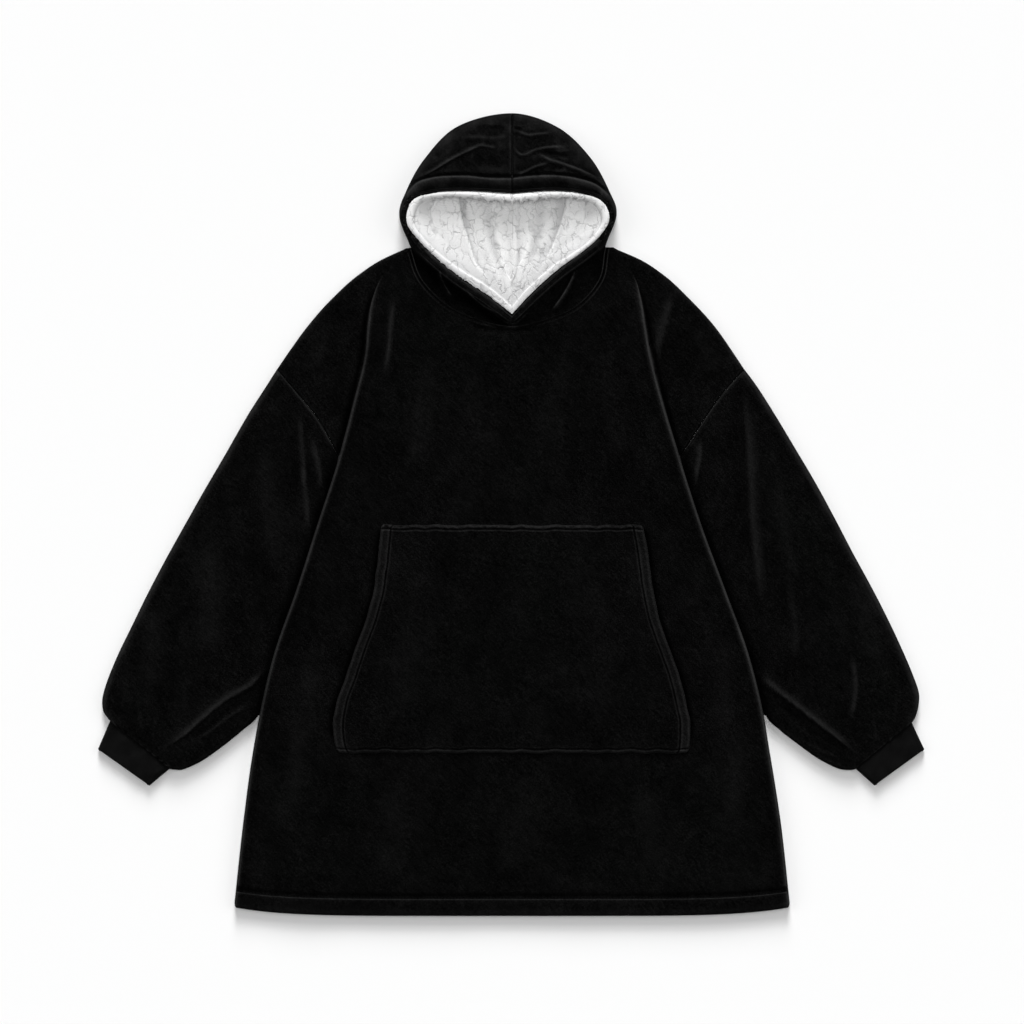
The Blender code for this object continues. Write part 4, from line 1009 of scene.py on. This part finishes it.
def flatTube(outer, inner, crown, edge, bulge=1.0):
    # Rings of a flattened tube. t runs 0 to 1 across the top, from the outer to the inner edge:
    # edges are half circles, and between them the height is 2 r + (crown - 2 r) sin(pi t)^bulge.
    turn = np.linspace(-90, 90, 11)
    rad = np.radians(turn)
    across = np.linspace(0, 1, 64)[1:-1]
    under = np.linspace(1, 0, 16)[1:-1]
    span = inner - outer
    width = np.linalg.norm(span, axis=1)[:, None]
    way = span / width
    r = edge[:, None]
    startX, startZ = r * (1 - np.cos(rad))[None], r * (1 + np.sin(rad))[None]
    midX = r + (width - 2 * r) * across[None]
    midZ = 2 * r + (crown[:, None] - 2 * r) * np.sin(np.pi * across[None]) ** bulge
    endX, endZ = width - startX[:, ::-1], startZ[:, ::-1]
    lowX = r + (width - 2 * r) * under[None]
    along = np.concatenate([startX, midX, endX, lowX], axis=1)
    z = np.concatenate([startZ, midZ, endZ, lowX * 0], axis=1)
    x = outer[:, :1] + way[:, :1] * along
    y = outer[:, 1:] + way[:, 1:] * along
    isTop = np.zeros(z.shape)
    first, last = len(rad), len(rad) + len(across)
    isTop[:, first:last] = 1
    return x, y, z, isTop, along, width


def sleeveEnds(side, count):
    # Outer and inner end, and crown, of each section along one sleeve.
    first = 0 if side == left else 4
    rows = sleeve["sections"]
    stations = np.arange(len(rows))
    at = np.linspace(0, len(rows) - 1, count)
    outer = np.stack([smoothCurve(stations, column(rows, first), at),
                      smoothCurve(stations, column(rows, first + 1), at)], axis=1)
    innerY = smoothCurve(stations, column(rows, first + 3), at)
    free = [(k, row[first + 2]) for k, row in enumerate(rows) if row[first + 2] is not None]
    freeX = smoothCurve([k for k, x in free], [x for k, x in free], np.maximum(at, free[0][0]))
    held = bodyEdge(side, innerY) - sleeve["tuck"] * ease(at)
    blend = ease(at - free[0][0] + 1)
    innerX = np.where(at < free[0][0], held * (1 - blend) + np.minimum(held, freeX) * blend, freeX)
    inner = np.stack([innerX, innerY], axis=1)
    crown = smoothCurve(stations, column(rows, 8), at)
    return outer, inner, crown, at


def sleeveFolds(side):
    # The folds of one sleeve.
    return sleeve["leftFolds"] if side == left else sleeve["rightFolds"]


def sleeveGrid(side):
    # Rings from the armhole seam, which the first one follows, to the gathered end.
    outer, inner, crown, at = sleeveEnds(side, 176)
    x, y, z, isTop, along, width = flatTube(outer, inner, crown, np.minimum(crown / 2, sleeve["edge"]))
    share = along / width
    near = np.minimum(along, width - along)
    seamY = body["notchY"] + (body["armpitY"] - body["notchY"]) * share
    pull = within(1 - at / sleeve["pull"])[:, None] ** 2
    seamX = shoulderEdge(side, np.clip(seamY, body["armpitY"], body["notchY"])) + 0.3
    x = x + (seamX - x) * pull * (at[:, None] < sleeve["pull"])
    y = y + (seamY - y) * pull
    height, length, seed, stretch = sleeve["waves"]
    swell = foldRise(sleeveFolds(side), side * x, y)
    swell = swell + height * ripples(side * x, y, length, seed + side, stretch=stretch)
    height, length, seed = sleeve["crumple"]
    swell = swell + height * ripples(side * x, y, length, seed)
    fromCuff = (len(sleeve["sections"]) - 1 - at)[:, None]
    height, length, seed, reach = sleeve["gathers"]
    gather = height * ripples(share * 90, share * 0, length, seed + side) * ridge(fromCuff, reach)
    z = z + isTop * within(near / sleeve["foldsFrom"]) * swell
    z = z + isTop * within(near / sleeve["gathersFrom"]) * gather
    z = z + isTop * ridges(at[:, None] * sleeve["sectionLength"], sleeve["seamRows"])
    grid = np.stack([side * x, y, np.maximum(z, 0)], axis=-1)
    return grid[:, ::-1] if side == left else grid


sleeveLight = {
    # painted shadow at the body's side: strength, distance, width; painted highlight on the outer
    # edge: strength, width, share, length and seed of its unevenness; painted light and shade beside the
    # armhole
    "under": (-0.9, 0.0, 9.0), "underTopY": 90.0, "edge": (0.30, 13.0), "uneven": (0.3, 45, 85),
    "seam": ((0.24, 3.0, 1.8), (-0.3, 0.0, 1.4)),
    # the outer edge, the seam and the folds are painted above these heights
    "edgeZ": 3.0, "seamZ": 6.0, "foldZ": 8.0,
}


def sleeveShade(x, y, z):
    # Painted shadow where the sleeve goes under the body's side, painted highlight along the outer edge, and
    # painted light and shade beside the armhole seam and on the folds.
    look = sleeveLight
    side = left if x.mean() < 0 else right
    off = np.abs(x) - bodyEdge(side, y)
    shade = ridges(np.maximum(off, 0), (look["under"],)) * (y < look["underTopY"])
    first = 0 if side == left else 4
    rows = sleeve["sections"]
    outline = np.stack([side * column(rows, first), column(rows, first + 1)], axis=1)
    depth, share = nearLine(smoothLine(outline, 60), x, y)[:2]
    unevenShare, length, seed = look["uneven"]
    uneven = 1 + unevenShare * ripples(share * 600, x * 0, length, seed + side)
    strength, width = look["edge"]
    shade = shade + strength * within(1 - depth / width) * uneven * (z > look["edgeZ"])
    seamX = side * column(body["seam"], 1 if side == left else 2)
    beside = nearLine(smoothLine(np.stack([seamX, column(body["seam"], 0)], axis=1), 30), x, y)[0]
    shade = shade + ridges(beside, look["seam"]) * (z > look["seamZ"])
    return shade + foldLight(sleeveFolds(side), x, y, *sleeve["foldLight"]) * (z > look["foldZ"])


cuff = {
    "wall": 2.4, "crown": 10.6, "taper": 1.2, "bulge": 0.5, "turnIn": 1.6, "turnFrom": 0.97,
    # left outer x, y, left inner x, y, right outer x, y, right inner x, y
    "ends": ((523, -269.8, 445.5, -331.5, 520, -271.7, 447.2, -331.5),
             (538.4, -305.8, 471.4, -353.2, 536.2, -306, 471.2, -353)),
    "creases": (0.5, 30, 41),
}


def cuffGrid(side):
    # Rings from just inside the sleeve's end to the opening, where the wall turns in.
    first = 0 if side == left else 4
    start, end = (np.array(row[first:first + 4], float).reshape(2, 2) for row in cuff["ends"])
    t = np.r_[-0.14, -0.06, np.linspace(0, cuff["turnFrom"], 40), 0.985, 0.995, 1.0]
    outer = start[0] + (end[0] - start[0]) * t[:, None]
    inner = start[1] + (end[1] - start[1]) * t[:, None]
    # Lower inside the sleeve's end and towards the opening.
    crown = cuff["crown"] - cuff["taper"] * (within(t) + within((0.1 - t) / 0.2))
    crown = crown - cuff["turnIn"] * within((t - cuff["turnFrom"]) / (1 - cuff["turnFrom"])) ** 2
    x, y, z, isTop = flatTube(outer, inner, crown, crown / 2 - 0.2, cuff["bulge"])[:4]
    height, length, seed = cuff["creases"]
    z = z + isTop * height * ripples(side * x, y, length, seed + side)
    grid = np.stack([side * x, y, np.maximum(z, 0)], axis=-1)
    return grid[:, ::-1] if side == left else grid


def addLay(piece, cuffSide):
    # The UV map named lay: millimetres across the cuff, for the bands of the knit.
    first = 0 if cuffSide == left else 4
    (ox, oy, ix, iy) = cuff["ends"][1][first:first + 4]
    across = np.array([cuffSide * (ix - ox), iy - oy]) / math.hypot(ix - ox, iy - oy)
    mesh = piece.data
    place = np.zeros(len(mesh.vertices) * 3, np.float32)
    mesh.vertices.foreach_get("co", place)
    place = place.reshape(-1, 3)[:, :2] / mm
    index = np.zeros(len(mesh.loops), np.int32)
    mesh.loops.foreach_get("vertex_index", index)
    flat = np.stack([place @ across, place @ np.array([-across[1], across[0]])], axis=1)[index]
    mesh.uv_layers.new(name="lay").data.foreach_set("uv", flat.astype(np.float32).ravel())


sleeves, cuffs = {}, {}
for side in (left, right):
    word = sideWord[side]
    sleeves[side] = gridPiece("sleeve_cloth_" + word, (sleeveGrid(side),), plush,
                              "sleeve_" + word, wall=sleeve["wall"], closed=True, shade=sleeveShade)
    cuffs[side] = gridPiece("cuff_cloth_" + word, (cuffGrid(side),), knit,
                            "cuff_" + word, wall=cuff["wall"], closed=True)
    addLay(cuffs[side], side)
print("sleeves and cuffs made")

# The hood and its lining.

# Profile over the crown from the rim to the outline: share of the way, share of the rim's height,
# added height.
crownProfile = ((0, 1, 0), (0.12, 1.02, 2.4), (0.3, 1, 4), (0.5, 0.96, 4), (0.7, 0.88, 3.2),
                (0.86, 0.74, 1.6), (0.96, 0.56, 0), (1, 0.34, 0), (0.97, 0.13, 0))
# The same at the neck: share of the way, share of the height above the seam.
neckProfile = ((0, 1), (0.15, 1.03), (0.35, 0.95), (0.55, 0.75), (0.72, 0.45), (0.88, 0.15), (1, 0))


def profileAt(profile, t):
    # A smooth curve through each column of a profile, whose rows are evenly spaced from 0 to 1.
    stations = np.linspace(0, 1, len(profile))
    return [smoothCurve(stations, column(profile, k), t) for k in range(len(profile[0]))]


def hoodGrid(side):
    # Sections from the neck to the forehead, each from the rolled rim over the band and the crown
    # to the outline, and under to the back neck. Rim roll: a half circle turned inwards.
    a = np.r_[np.linspace(0, hood["neckEnd"], 110), np.linspace(hood["crownStart"], 9, 150)]
    crown = (a > hood["neckEnd"])[:, None]
    rx, ry = hoodCurve(side, "rim", a)
    ox, oy = hoodCurve(side, "outline", a)
    height = rimHeight(a)[:, None]
    width = np.hypot(ox - rx, oy - ry)[:, None]
    t = np.linspace(0, 1, 100)
    crownShare, crownTall, crownBulge = profileAt(crownProfile, t)
    neckShare, neckTall = profileAt(neckProfile, t)
    share = np.where(crown, crownShare[None], neckShare[None])
    crownZ = height * crownTall[None] + crownBulge[None] * np.minimum(1, width / hood["fullWidth"])
    z = np.where(crown, crownZ, hood["seamTop"] + (height - hood["seamTop"]) * neckTall[None])
    x = rx[:, None] + (ox - rx)[:, None] * share
    y = ry[:, None] + (oy - ry)[:, None] * share
    taper = within(share * 5) * within((0.95 - share) * 7)
    swell = np.where(crown, foldRise(hood["folds"], side * x, y), foldRise(hood["neckFolds"], side * x, y))
    for tall, length, seed in hood["lumps"]:
        swell = swell + tall * ripples(side * x, y, length, seed)
    z = z + taper * swell
    # The turned hem ends in a sharp line over the forehead, and at the neck in a step down.
    away, at, turn = nearLine(smoothLine(hood[sideWord[side] + "Band"], 90), side * x, y)
    line = np.where(turn > 0, away, -away)
    tall, below, above = hood["hemLine"]
    upper = tall * ridge(line, np.where(line > 0, above, below)) + ridges(line, (hood["hemHollow"],))
    lower = hood["neckHem"] * ease((hood["neckBand"] + 2 - share * width) / hood["neckEase"])
    least, more = hood["hemFrom"]
    z = z + within((width - least) / more) * np.where(crown, upper, lower)
    # The crown's middle seam is a narrow channel.
    z = z + np.where(crown, ridges(x, (hood["middleSeam"],)) * taper, 0)
    # The rim turns in: its half circle ends below the lining's edge.
    r = hood["rimRadius"]
    turn = np.radians(np.linspace(200, 90, 9)[:-1])[None]
    ux, uy = (ox - rx)[:, None] / np.maximum(width, 1e-6), (oy - ry)[:, None] / np.maximum(width, 1e-6)
    rolled = np.repeat(r * (1 + np.cos(turn)), len(a), axis=0)
    reach = np.concatenate([rolled, np.maximum(share * width, r)], axis=1)
    x, y = rx[:, None] + ux * reach, ry[:, None] + uy * reach
    z = np.concatenate([z[:, :1] - r + r * np.sin(turn), z], axis=1)
    # Under the outline the hood's back lies on the floor and runs to the back neck.
    along = within((a - hood["crownStart"]) / (9 - hood["crownStart"]))
    tx = hood["backHalf"] * (1 - along)
    ty = hood["backNeckY"] + hood["backRise"] * (1 - along)
    inset = np.minimum(0.4, 9 / np.maximum(np.hypot(ox - tx, oy - ty), 1e-6))
    backShare = inset[:, None] + (1 - inset)[:, None] * np.linspace(0, 1, 12)[None]
    underX = np.where(crown, ox[:, None] + (tx - ox)[:, None] * backShare, x[:, -1:])
    underY = np.where(crown, oy[:, None] + (ty - oy)[:, None] * backShare, y[:, -1:])
    underZ = np.where(crown, 0, z[:, -1:] - 0.4 * np.arange(12)[None])
    x, y, z = (np.concatenate(pair, axis=1) for pair in ((x, underX), (y, underY), (z, underZ)))
    grid = np.stack([side * np.maximum(x, 0), y, np.maximum(z, 0)], axis=-1)
    return grid[:, ::-1] if side == left else grid


hoodLight = {
    # the crown: its tone, patches (share, length, seed), the painted highlight at its outline and the
    # painted dark line on it
    "tone": 0.10, "patches": (0.07, 26, 87), "outline": (0.20, 12.0), "outlineLine": (-0.4, 0.0, 1.6),
    # painted shade in the middle seam, and a painted highlight beside it
    "seam": ((-0.6, 0.6, 1.1), (0.15, -2.4, 1.2)),
    # painted highlight on the turned hem over the forehead, on its line, and painted shade above it
    "hem": (0.38, 13.0), "hemRows": ((0.30, -0.4, 1.5), (-0.34, 3.2, 2.0)),
    # at the neck: strength of the hem's painted edge line, of the painted highlight on it, and of the
    # painted shadow below it
    "neckLeft": (0.12, 0.22, 1.0), "neckRight": (0.36, 0.12, 0.35), "neckLine": 1.3,
    "darkEase": 2.5, "darkFrom": 16.0, "dark": 9.0,
    # the crown is above the first y, the neck below the second, its shades below the third
    "crownY": 395.0, "neckY": 400.0, "neckShadeY": 372.0,
}


def hoodShade(x, y, z):
    # The crown is lighter, with a painted highlight most at its outline and on the turned hem, and
    # painted shade in its middle seam and along the folds' troughs. At the neck the hem's painted
    # highlight fades from its edge, and painted shadow lies below it, most on the left.
    look = hoodLight
    side = left if x.mean() < 0 else right
    ox, oy = hoodCurve(side, "outline", np.linspace(hood["crownStart"], 9, 60))
    depth = nearLine(np.stack([side * ox, oy], axis=1), x, y)[0]
    share, length, seed = look["patches"]
    strength, width = look["outline"]
    shade = look["tone"] + share * ripples(x, y, length, seed) + strength * within(1 - depth / width)
    shade = shade + foldLight(hood["folds"], x, y, *hood["foldLight"]) + ridges(x, look["seam"])
    away, at, turn = nearLine(smoothLine(hood[sideWord[side] + "Band"], 90), x, y)
    line = np.where(turn > 0, away, -away)
    strength, width = look["hem"]
    shade = shade + strength * ease((line + width) / width) * (line < 0) + ridges(line, look["hemRows"])
    shade = (shade + ridges(depth, (look["outlineLine"],))) * (y > look["crownY"])
    rx, ry = hoodCurve(side, "rim", np.linspace(0, 5.5, 50))
    away = nearLine(np.stack([side * rx, ry], axis=1), x, y)[0]
    here = y < look["neckY"]
    shade = shade + here * foldLight(hood["neckFolds"], x, y, *hood["foldLight"])
    line, glow, dark = look["neckLeft" if side == left else "neckRight"]
    shade = shade + here * glow * within(1 - away / hood["neckBand"])
    below = ease((away - hood["neckBand"] - 1) / look["darkEase"])
    below = below * ridge(np.maximum(away - look["darkFrom"], 0), look["dark"])
    rim = line * ridge(away - hood["neckBand"], look["neckLine"])
    return shade + (y < look["neckShadeY"]) * (rim - dark * below)


lining = {
    "wall": 2.0, "floor": 9.4, "step": 3.4, "stepY": 412.0, "stepLength": 30.0, "focusY": 345.0,
    "lowY": 322.0, "highY": 402.0, "lip": 11.5, "recess": 0.6, "recessFrom": 22.0,
    "curl": 0.45, "curlSize": 9.0, "curlSeed": 61, "flap": 4.0,
    # the lip's section: distance in from the rim, height above it
    "lipRows": ((2.6, -3.4), (2.0, -2.2), (1.6, -0.9), (1.7, 0.1), (2.2, 0.7), (3.4, 1.0), (5.0, 1.1),
                (7.0, 0.7), (8.8, -0.2), (10.2, -1.8), (11.0, -4.2)),
    # how far the wall reaches in, and how much further at the neck
    "wallReach": 6.0, "slope": 26.0, "slopeFrom": 4.5,
    # the middle seam's height, place and width; the upright folds' height, spacing, shift and width
    "middleSeam": (1.6, 4.0, 3.0), "uprights": (1.3, 30.0, 0.6, 55.0),
    # tufts at the rim and under the forehead: height, length, seed
    "rimTufts": ((1.1, 7, 71), (0.9, 3.5, 73)), "foreheadTufts": ((1.6, 7, 75), (1.5, 3, 77)),
    "raggedY": 328.0, "raggedWidth": 34.0,
    # Folds in the floor of the hood that are only painted shade: strength, width on both sides, points.
    "shadedFolds": ((0.7, 6, 9, ((-31, 440), (-31, 410), (-27, 370), (-20, 320))),
                    (0.8, 8, 7, ((40, 440), (37, 405), (32, 360), (26, 320))),
                    (0.9, 5, 9, ((60, 430), (63, 400), (62, 372), (56, 350))),
                    (1.2, 5, 3, ((-66, 440), (-65.5, 406), (-62, 384), (-57, 362)))),
    # Edges of the hood's two sides where they lie over its back.
    "leftFlap": ((-69, 409.5), (-64, 381), (-54.6, 351), (-45.5, 324), (-36, 313), (-15.6, 272)),
    "rightFlap": ((71.5, 412), (67.6, 394), (62.4, 376), (49.4, 342), (36, 317), (24.7, 295)),
}


def liningFloor(y):
    # The floor, a step higher towards the neck.
    return lining["floor"] + lining["step"] * ease((lining["stepY"] - y) / lining["stepLength"])


def curls(x, y, size, seed):
    # Lumps of pile between winding creases: tanh(|n| / 0.35) of a bent noise n, and a finer one.
    bendX = 0.35 * size * ripples(x, y, size * 1.7, seed + 1)
    bendY = 0.35 * size * ripples(x, y, size * 1.7, seed + 2)
    broad = np.tanh(np.abs(ripples(x + bendX, y + bendY, size, seed)) / 0.35)
    fine = np.tanh(np.abs(ripples(x + bendX, y + bendY, size * 0.5, seed + 3)) / 0.4)
    return 0.65 * broad + 0.35 * fine


def liningGrid(side):
    # Sections from the rim towards the middle: a thick lip of pile over the rim, a wall down, and
    # the floor of the hood, with the edge of its side as a step and the middle seam as a ridge.
    a = np.linspace(0, 9, 250)
    crown = ease((a - hood["neckEnd"]) / (hood["crownStart"] - hood["neckEnd"]))
    rx, ry = hoodCurve(side, "rim", a)
    ox, oy = hoodCurve(side, "outline", a)
    reach = np.hypot(rx, lining["focusY"] - ry)
    ux, uy = -rx / reach, (lining["focusY"] - ry) / reach
    height = rimHeight(a)
    width = np.hypot(ox - rx, oy - ry)
    recess = np.maximum(0, width - lining["recessFrom"]) * lining["recess"] * crown
    floor = liningFloor(ry)
    deep = height - floor
    lip = lining["lip"] * np.clip(reach / 70, 0.35, 1) * (1 + 0.12 * crown)
    away, up = profileAt(lining["lipRows"], np.linspace(0, 1, 34))
    lipQ = away[None] * (lip / lining["lip"])[:, None]
    lipZ = height[:, None] + up[None] * np.clip(deep / 12, 0.4, 1)[:, None]
    wallT = np.linspace(0, 1, 16)[None, 1:]
    # The wall is steep under the forehead, and slopes gently in from the neck.
    gentle = lining["slope"] * (1 - ease((a - lining["slopeFrom"]) / 2.5))
    gentle = np.minimum(gentle, 0.5 * reach)[:, None]
    wallQ = lipQ[:, -1:] + (lining["wallReach"] + gentle) * wallT - recess[:, None] * ease(wallT)
    wallZ = lipZ[:, -1:] + (floor[:, None] - lipZ[:, -1:]) * ease(wallT) ** 0.8
    inQ = np.concatenate([lipQ, wallQ], axis=1)
    wx, wy = rx[:, None] + ux[:, None] * inQ, ry[:, None] + uy[:, None] * inQ
    wz = np.concatenate([lipZ, wallZ], axis=1)
    target = lining["lowY"] + (lining["highY"] - lining["lowY"]) * a / 9
    s = np.linspace(0, 1, 76)[None, 1:]
    fx = wx[:, -1:] * (1 - s)
    fy = wy[:, -1:] + (target[:, None] - wy[:, -1:]) * s
    fz = liningFloor(fy)
    x = np.maximum(np.concatenate([wx, fx], axis=1), 0)
    y = np.concatenate([wy, fy], axis=1)
    z = np.concatenate([wz, fz], axis=1)
    flapLine = smoothLine(lining["leftFlap"] if side == left else lining["rightFlap"], 24)
    away, share, turn = nearLine(flapLine, side * x, y)
    outward = np.where(turn * side > 0, 1, -1) * away
    isFloor = within((np.arange(z.shape[1]) - 40) / 10)[None]
    isFlap = ease((np.arange(z.shape[1]) - 30) / 18)[None] * (0.3 + 0.7 * ease((y - 285) / 70))
    z = z + isFlap * lining["flap"] * (ease((outward + 1.5) / 3) * np.exp(-np.maximum(outward, 0) / 50))
    z = z + isFloor * ridges(side * x, (lining["middleSeam"],)) * ease((y - 290) / 50)
    # Soft upright folds in the middle draw together towards the point of the neck.
    spread = np.clip((y - 250) / 160, 0.15, 1)
    tall, spacing, shift, wide = lining["uprights"]
    waves = np.sin(2 * np.pi * side * x / (spacing * spread) + shift)
    z = z + isFloor * tall * waves * ridge(x, wide * spread)
    curl = curls(side * x, y, lining["curlSize"], lining["curlSeed"])
    isLip = within((lip[:, None] * 0.9 - inQ) / 3)
    isLip = np.concatenate([isLip, np.zeros(fx.shape)], axis=1)
    upper = ease((a - 6.2) / 0.9)[:, None]
    curlShare = lining["curl"] * (0.35 + 0.65 * upper)
    z = z + curlShare * (curl - 0.5) * (1 - 0.75 * isLip) * within(np.arange(z.shape[1]) / 6)[None]
    # The pile stands over the rim unevenly, most along the lower left.
    ragged = 0.3 + (side == left) * ridge(ry[:, None] - lining["raggedY"], lining["raggedWidth"])
    spread = ragged * np.abs(sum(tall * ripples(a[:, None] * 30 + 0 * x, x * 0, length, seed + side)
                                 for tall, length, seed in lining["rimTufts"]))
    edgeShare = ridge(np.arange(z.shape[1]) - 6, 7.0)[None]
    innerShare = ridge(np.arange(z.shape[1]) - 34, 6.0)[None]
    tufts = sum(tall * ripples(a[:, None] * 40 + 0 * x, x * 0, length, seed)
                for tall, length, seed in lining["foreheadTufts"])
    move = tufts * innerShare * upper - spread * edgeShare
    x = x + ux[:, None] * move
    y = y + uy[:, None] * move
    x = np.maximum(x, 0)
    grid = np.stack([side * x, y, z], axis=-1)
    return grid[:, ::-1] if side == right else grid


liningLight = {
    # painted shade under the forehead: strength, y, fade; towards the neck: strength, y, length;
    # then near the rim, in the folds, beside the edges of the hood's sides and along the middle seam
    "forehead": (-0.2, 410.0, 12.0), "neck": (-0.27, 375.0, 60.0), "rim": (-0.9, 0.0, 30.0),
    "folds": -0.75, "foldZ": 19.0, "flapEdge": (-0.65, 6.0), "seam": (-0.2, 9.0, 2.5),
}


def liningShade(x, y, z):
    # Painted shade: darker under the forehead, towards the neck, near the rim low down, in the folds,
    # beside the edges of the hood's two sides, and along the middle seam.
    look = liningLight
    side = left if x.mean() < 0 else right
    strength, top, fade = look["forehead"]
    shade = strength * np.exp(-np.maximum(top - y, 0) / fade) * within((top - y) / 4)
    strength, top, fade = look["neck"]
    shade = shade + strength * ease((top - y) / fade)
    rx, ry = hoodCurve(side, "rim", np.linspace(0, 5, 50))
    away = nearLine(np.stack([side * rx, ry], axis=1), x, y)[0]
    shade = shade + ridges(away, (look["rim"],)) * ease((405 - y) / 50)
    folds = foldRise(lining["shadedFolds"], x, y)
    shade = shade + look["folds"] * folds * (z < look["foldZ"]) * ease((412 - y) / 4)
    strength, fade = look["flapEdge"]
    for name, toward in (("leftFlap", -1), ("rightFlap", 1)):
        away, share, turn = nearLine(smoothLine(lining[name], 24), x, y)
        inward = np.where(turn * toward < 0, away, -1)
        beside = np.exp(-np.maximum(inward, 0) / fade) * (inward >= 0)
        shade = shade + strength * beside * within(3 - 3 * share)
    return shade + ridges(x, (look["seam"],)) * ease((405 - y) / 6) * ease((y - 300) / 50)


hoods, linings = {}, {}
for side in (left, right):
    word = sideWord[side]
    hoods[side] = gridPiece("hood_cloth_" + word, (hoodGrid(side),), plush,
                            "hood_" + word, wall=hood["wall"], shade=hoodShade)
    linings[side] = gridPiece("hood_pile_" + word, (liningGrid(side),), sherpa,
                              "hood_lining_" + word, wall=lining["wall"], shade=liningShade)
print("hood and lining made")

# The hem's stitches.


def onBody(x, y, lift=0.0):
    # Points that lie on the front panel, or a little above it.
    z = np.where(x < 0, bodyHeight(left, np.abs(x), y, y - body["hemY"]),
                 bodyHeight(right, np.abs(x), y, y - body["hemY"]))
    return np.stack([x, y + hemLift(x, y), z + lift], axis=1)


x = np.linspace(-350, 350, 300)
sewing = [onBody(x, np.full(len(x), body["hemY"] + body["hemStitch"]), 0.1)]
points, quads = stitchRow(sewing, stitch)
meshPiece("hem_stitches", points, quads, thread, crests=False)
print("sewing made")

# Floor, light and camera.
stage = {"floor": (0.90, 0.90, 0.90), "size": 12.0, "world": 0.07,
         # sun lamps: direction that the light comes from, strength, angle in degrees
         "lamps": (("key", (0.0, 2.8, 1.0), 2.62, 20.0), ("high_key", (0.0, 1.6, 1.0), 1.48, 25.0),
                   ("top", (0.0, 0.05, 1.0), 0.98, 24.0), ("left_fill", (-1.2, 0.2, 1.0), 0.46, 40.0),
                   ("right_fill", (1.2, 0.2, 1.0), 0.46, 40.0))}

mesh = bpy.data.meshes.new("floor")
half = stage["size"] / 2
corners = [(-half, -half, 0), (half, -half, 0), (half, half, 0), (-half, half, 0)]
mesh.from_pydata(corners, [], [(0, 1, 2, 3)])
floor = bpy.data.objects.new("floor", mesh)
bpy.context.scene.collection.objects.link(floor)
paper, tree, shader, where = newFinish("floor")
shader.inputs["Base Color"].default_value = (*stage["floor"], 1)
shader.inputs["Roughness"].default_value = 1.0
shader.inputs["Specular IOR Level"].default_value = 0.0
mesh.materials.append(paper)


def sunLamp(name, place, strength, angle):
    # A sun that shines from a place towards the origin.
    lamp = bpy.data.lights.new(name, "SUN")
    lamp.energy = strength
    lamp.angle = math.radians(angle)
    made = bpy.data.objects.new(name, lamp)
    made.location = place
    made.rotation_euler = (math.atan2(math.hypot(place[0], place[1]), place[2]), 0,
                           math.atan2(-place[1], -place[0]) - math.pi / 2)
    bpy.context.scene.collection.objects.link(made)
    return made


for name, place, strength, angle in stage["lamps"]:
    sunLamp(name, place, strength, angle)
world = bpy.data.worlds.new("studio")
world.use_nodes = True
world.node_tree.nodes["Background"].inputs["Color"].default_value = (1, 1, 1, 1)
world.node_tree.nodes["Background"].inputs["Strength"].default_value = stage["world"]
bpy.context.scene.world = world
bpy.context.scene.view_settings.view_transform = "Standard"

# metres: the camera's height, the middle of the picture, its width, and the height it is measured at
view = {"distance": 20.0, "middleY": 0.0026, "width": 1.3312, "plane": 0.012}
lens = bpy.data.cameras.new("camera")
lens.sensor_width = 36.0
lens.lens = 36.0 * (view["distance"] - view["plane"]) / view["width"]
camera = bpy.data.objects.new("camera", lens)
camera.location = (0, view["middleY"], view["distance"])
bpy.context.scene.collection.objects.link(camera)
bpy.context.scene.camera = camera
print("stage made")
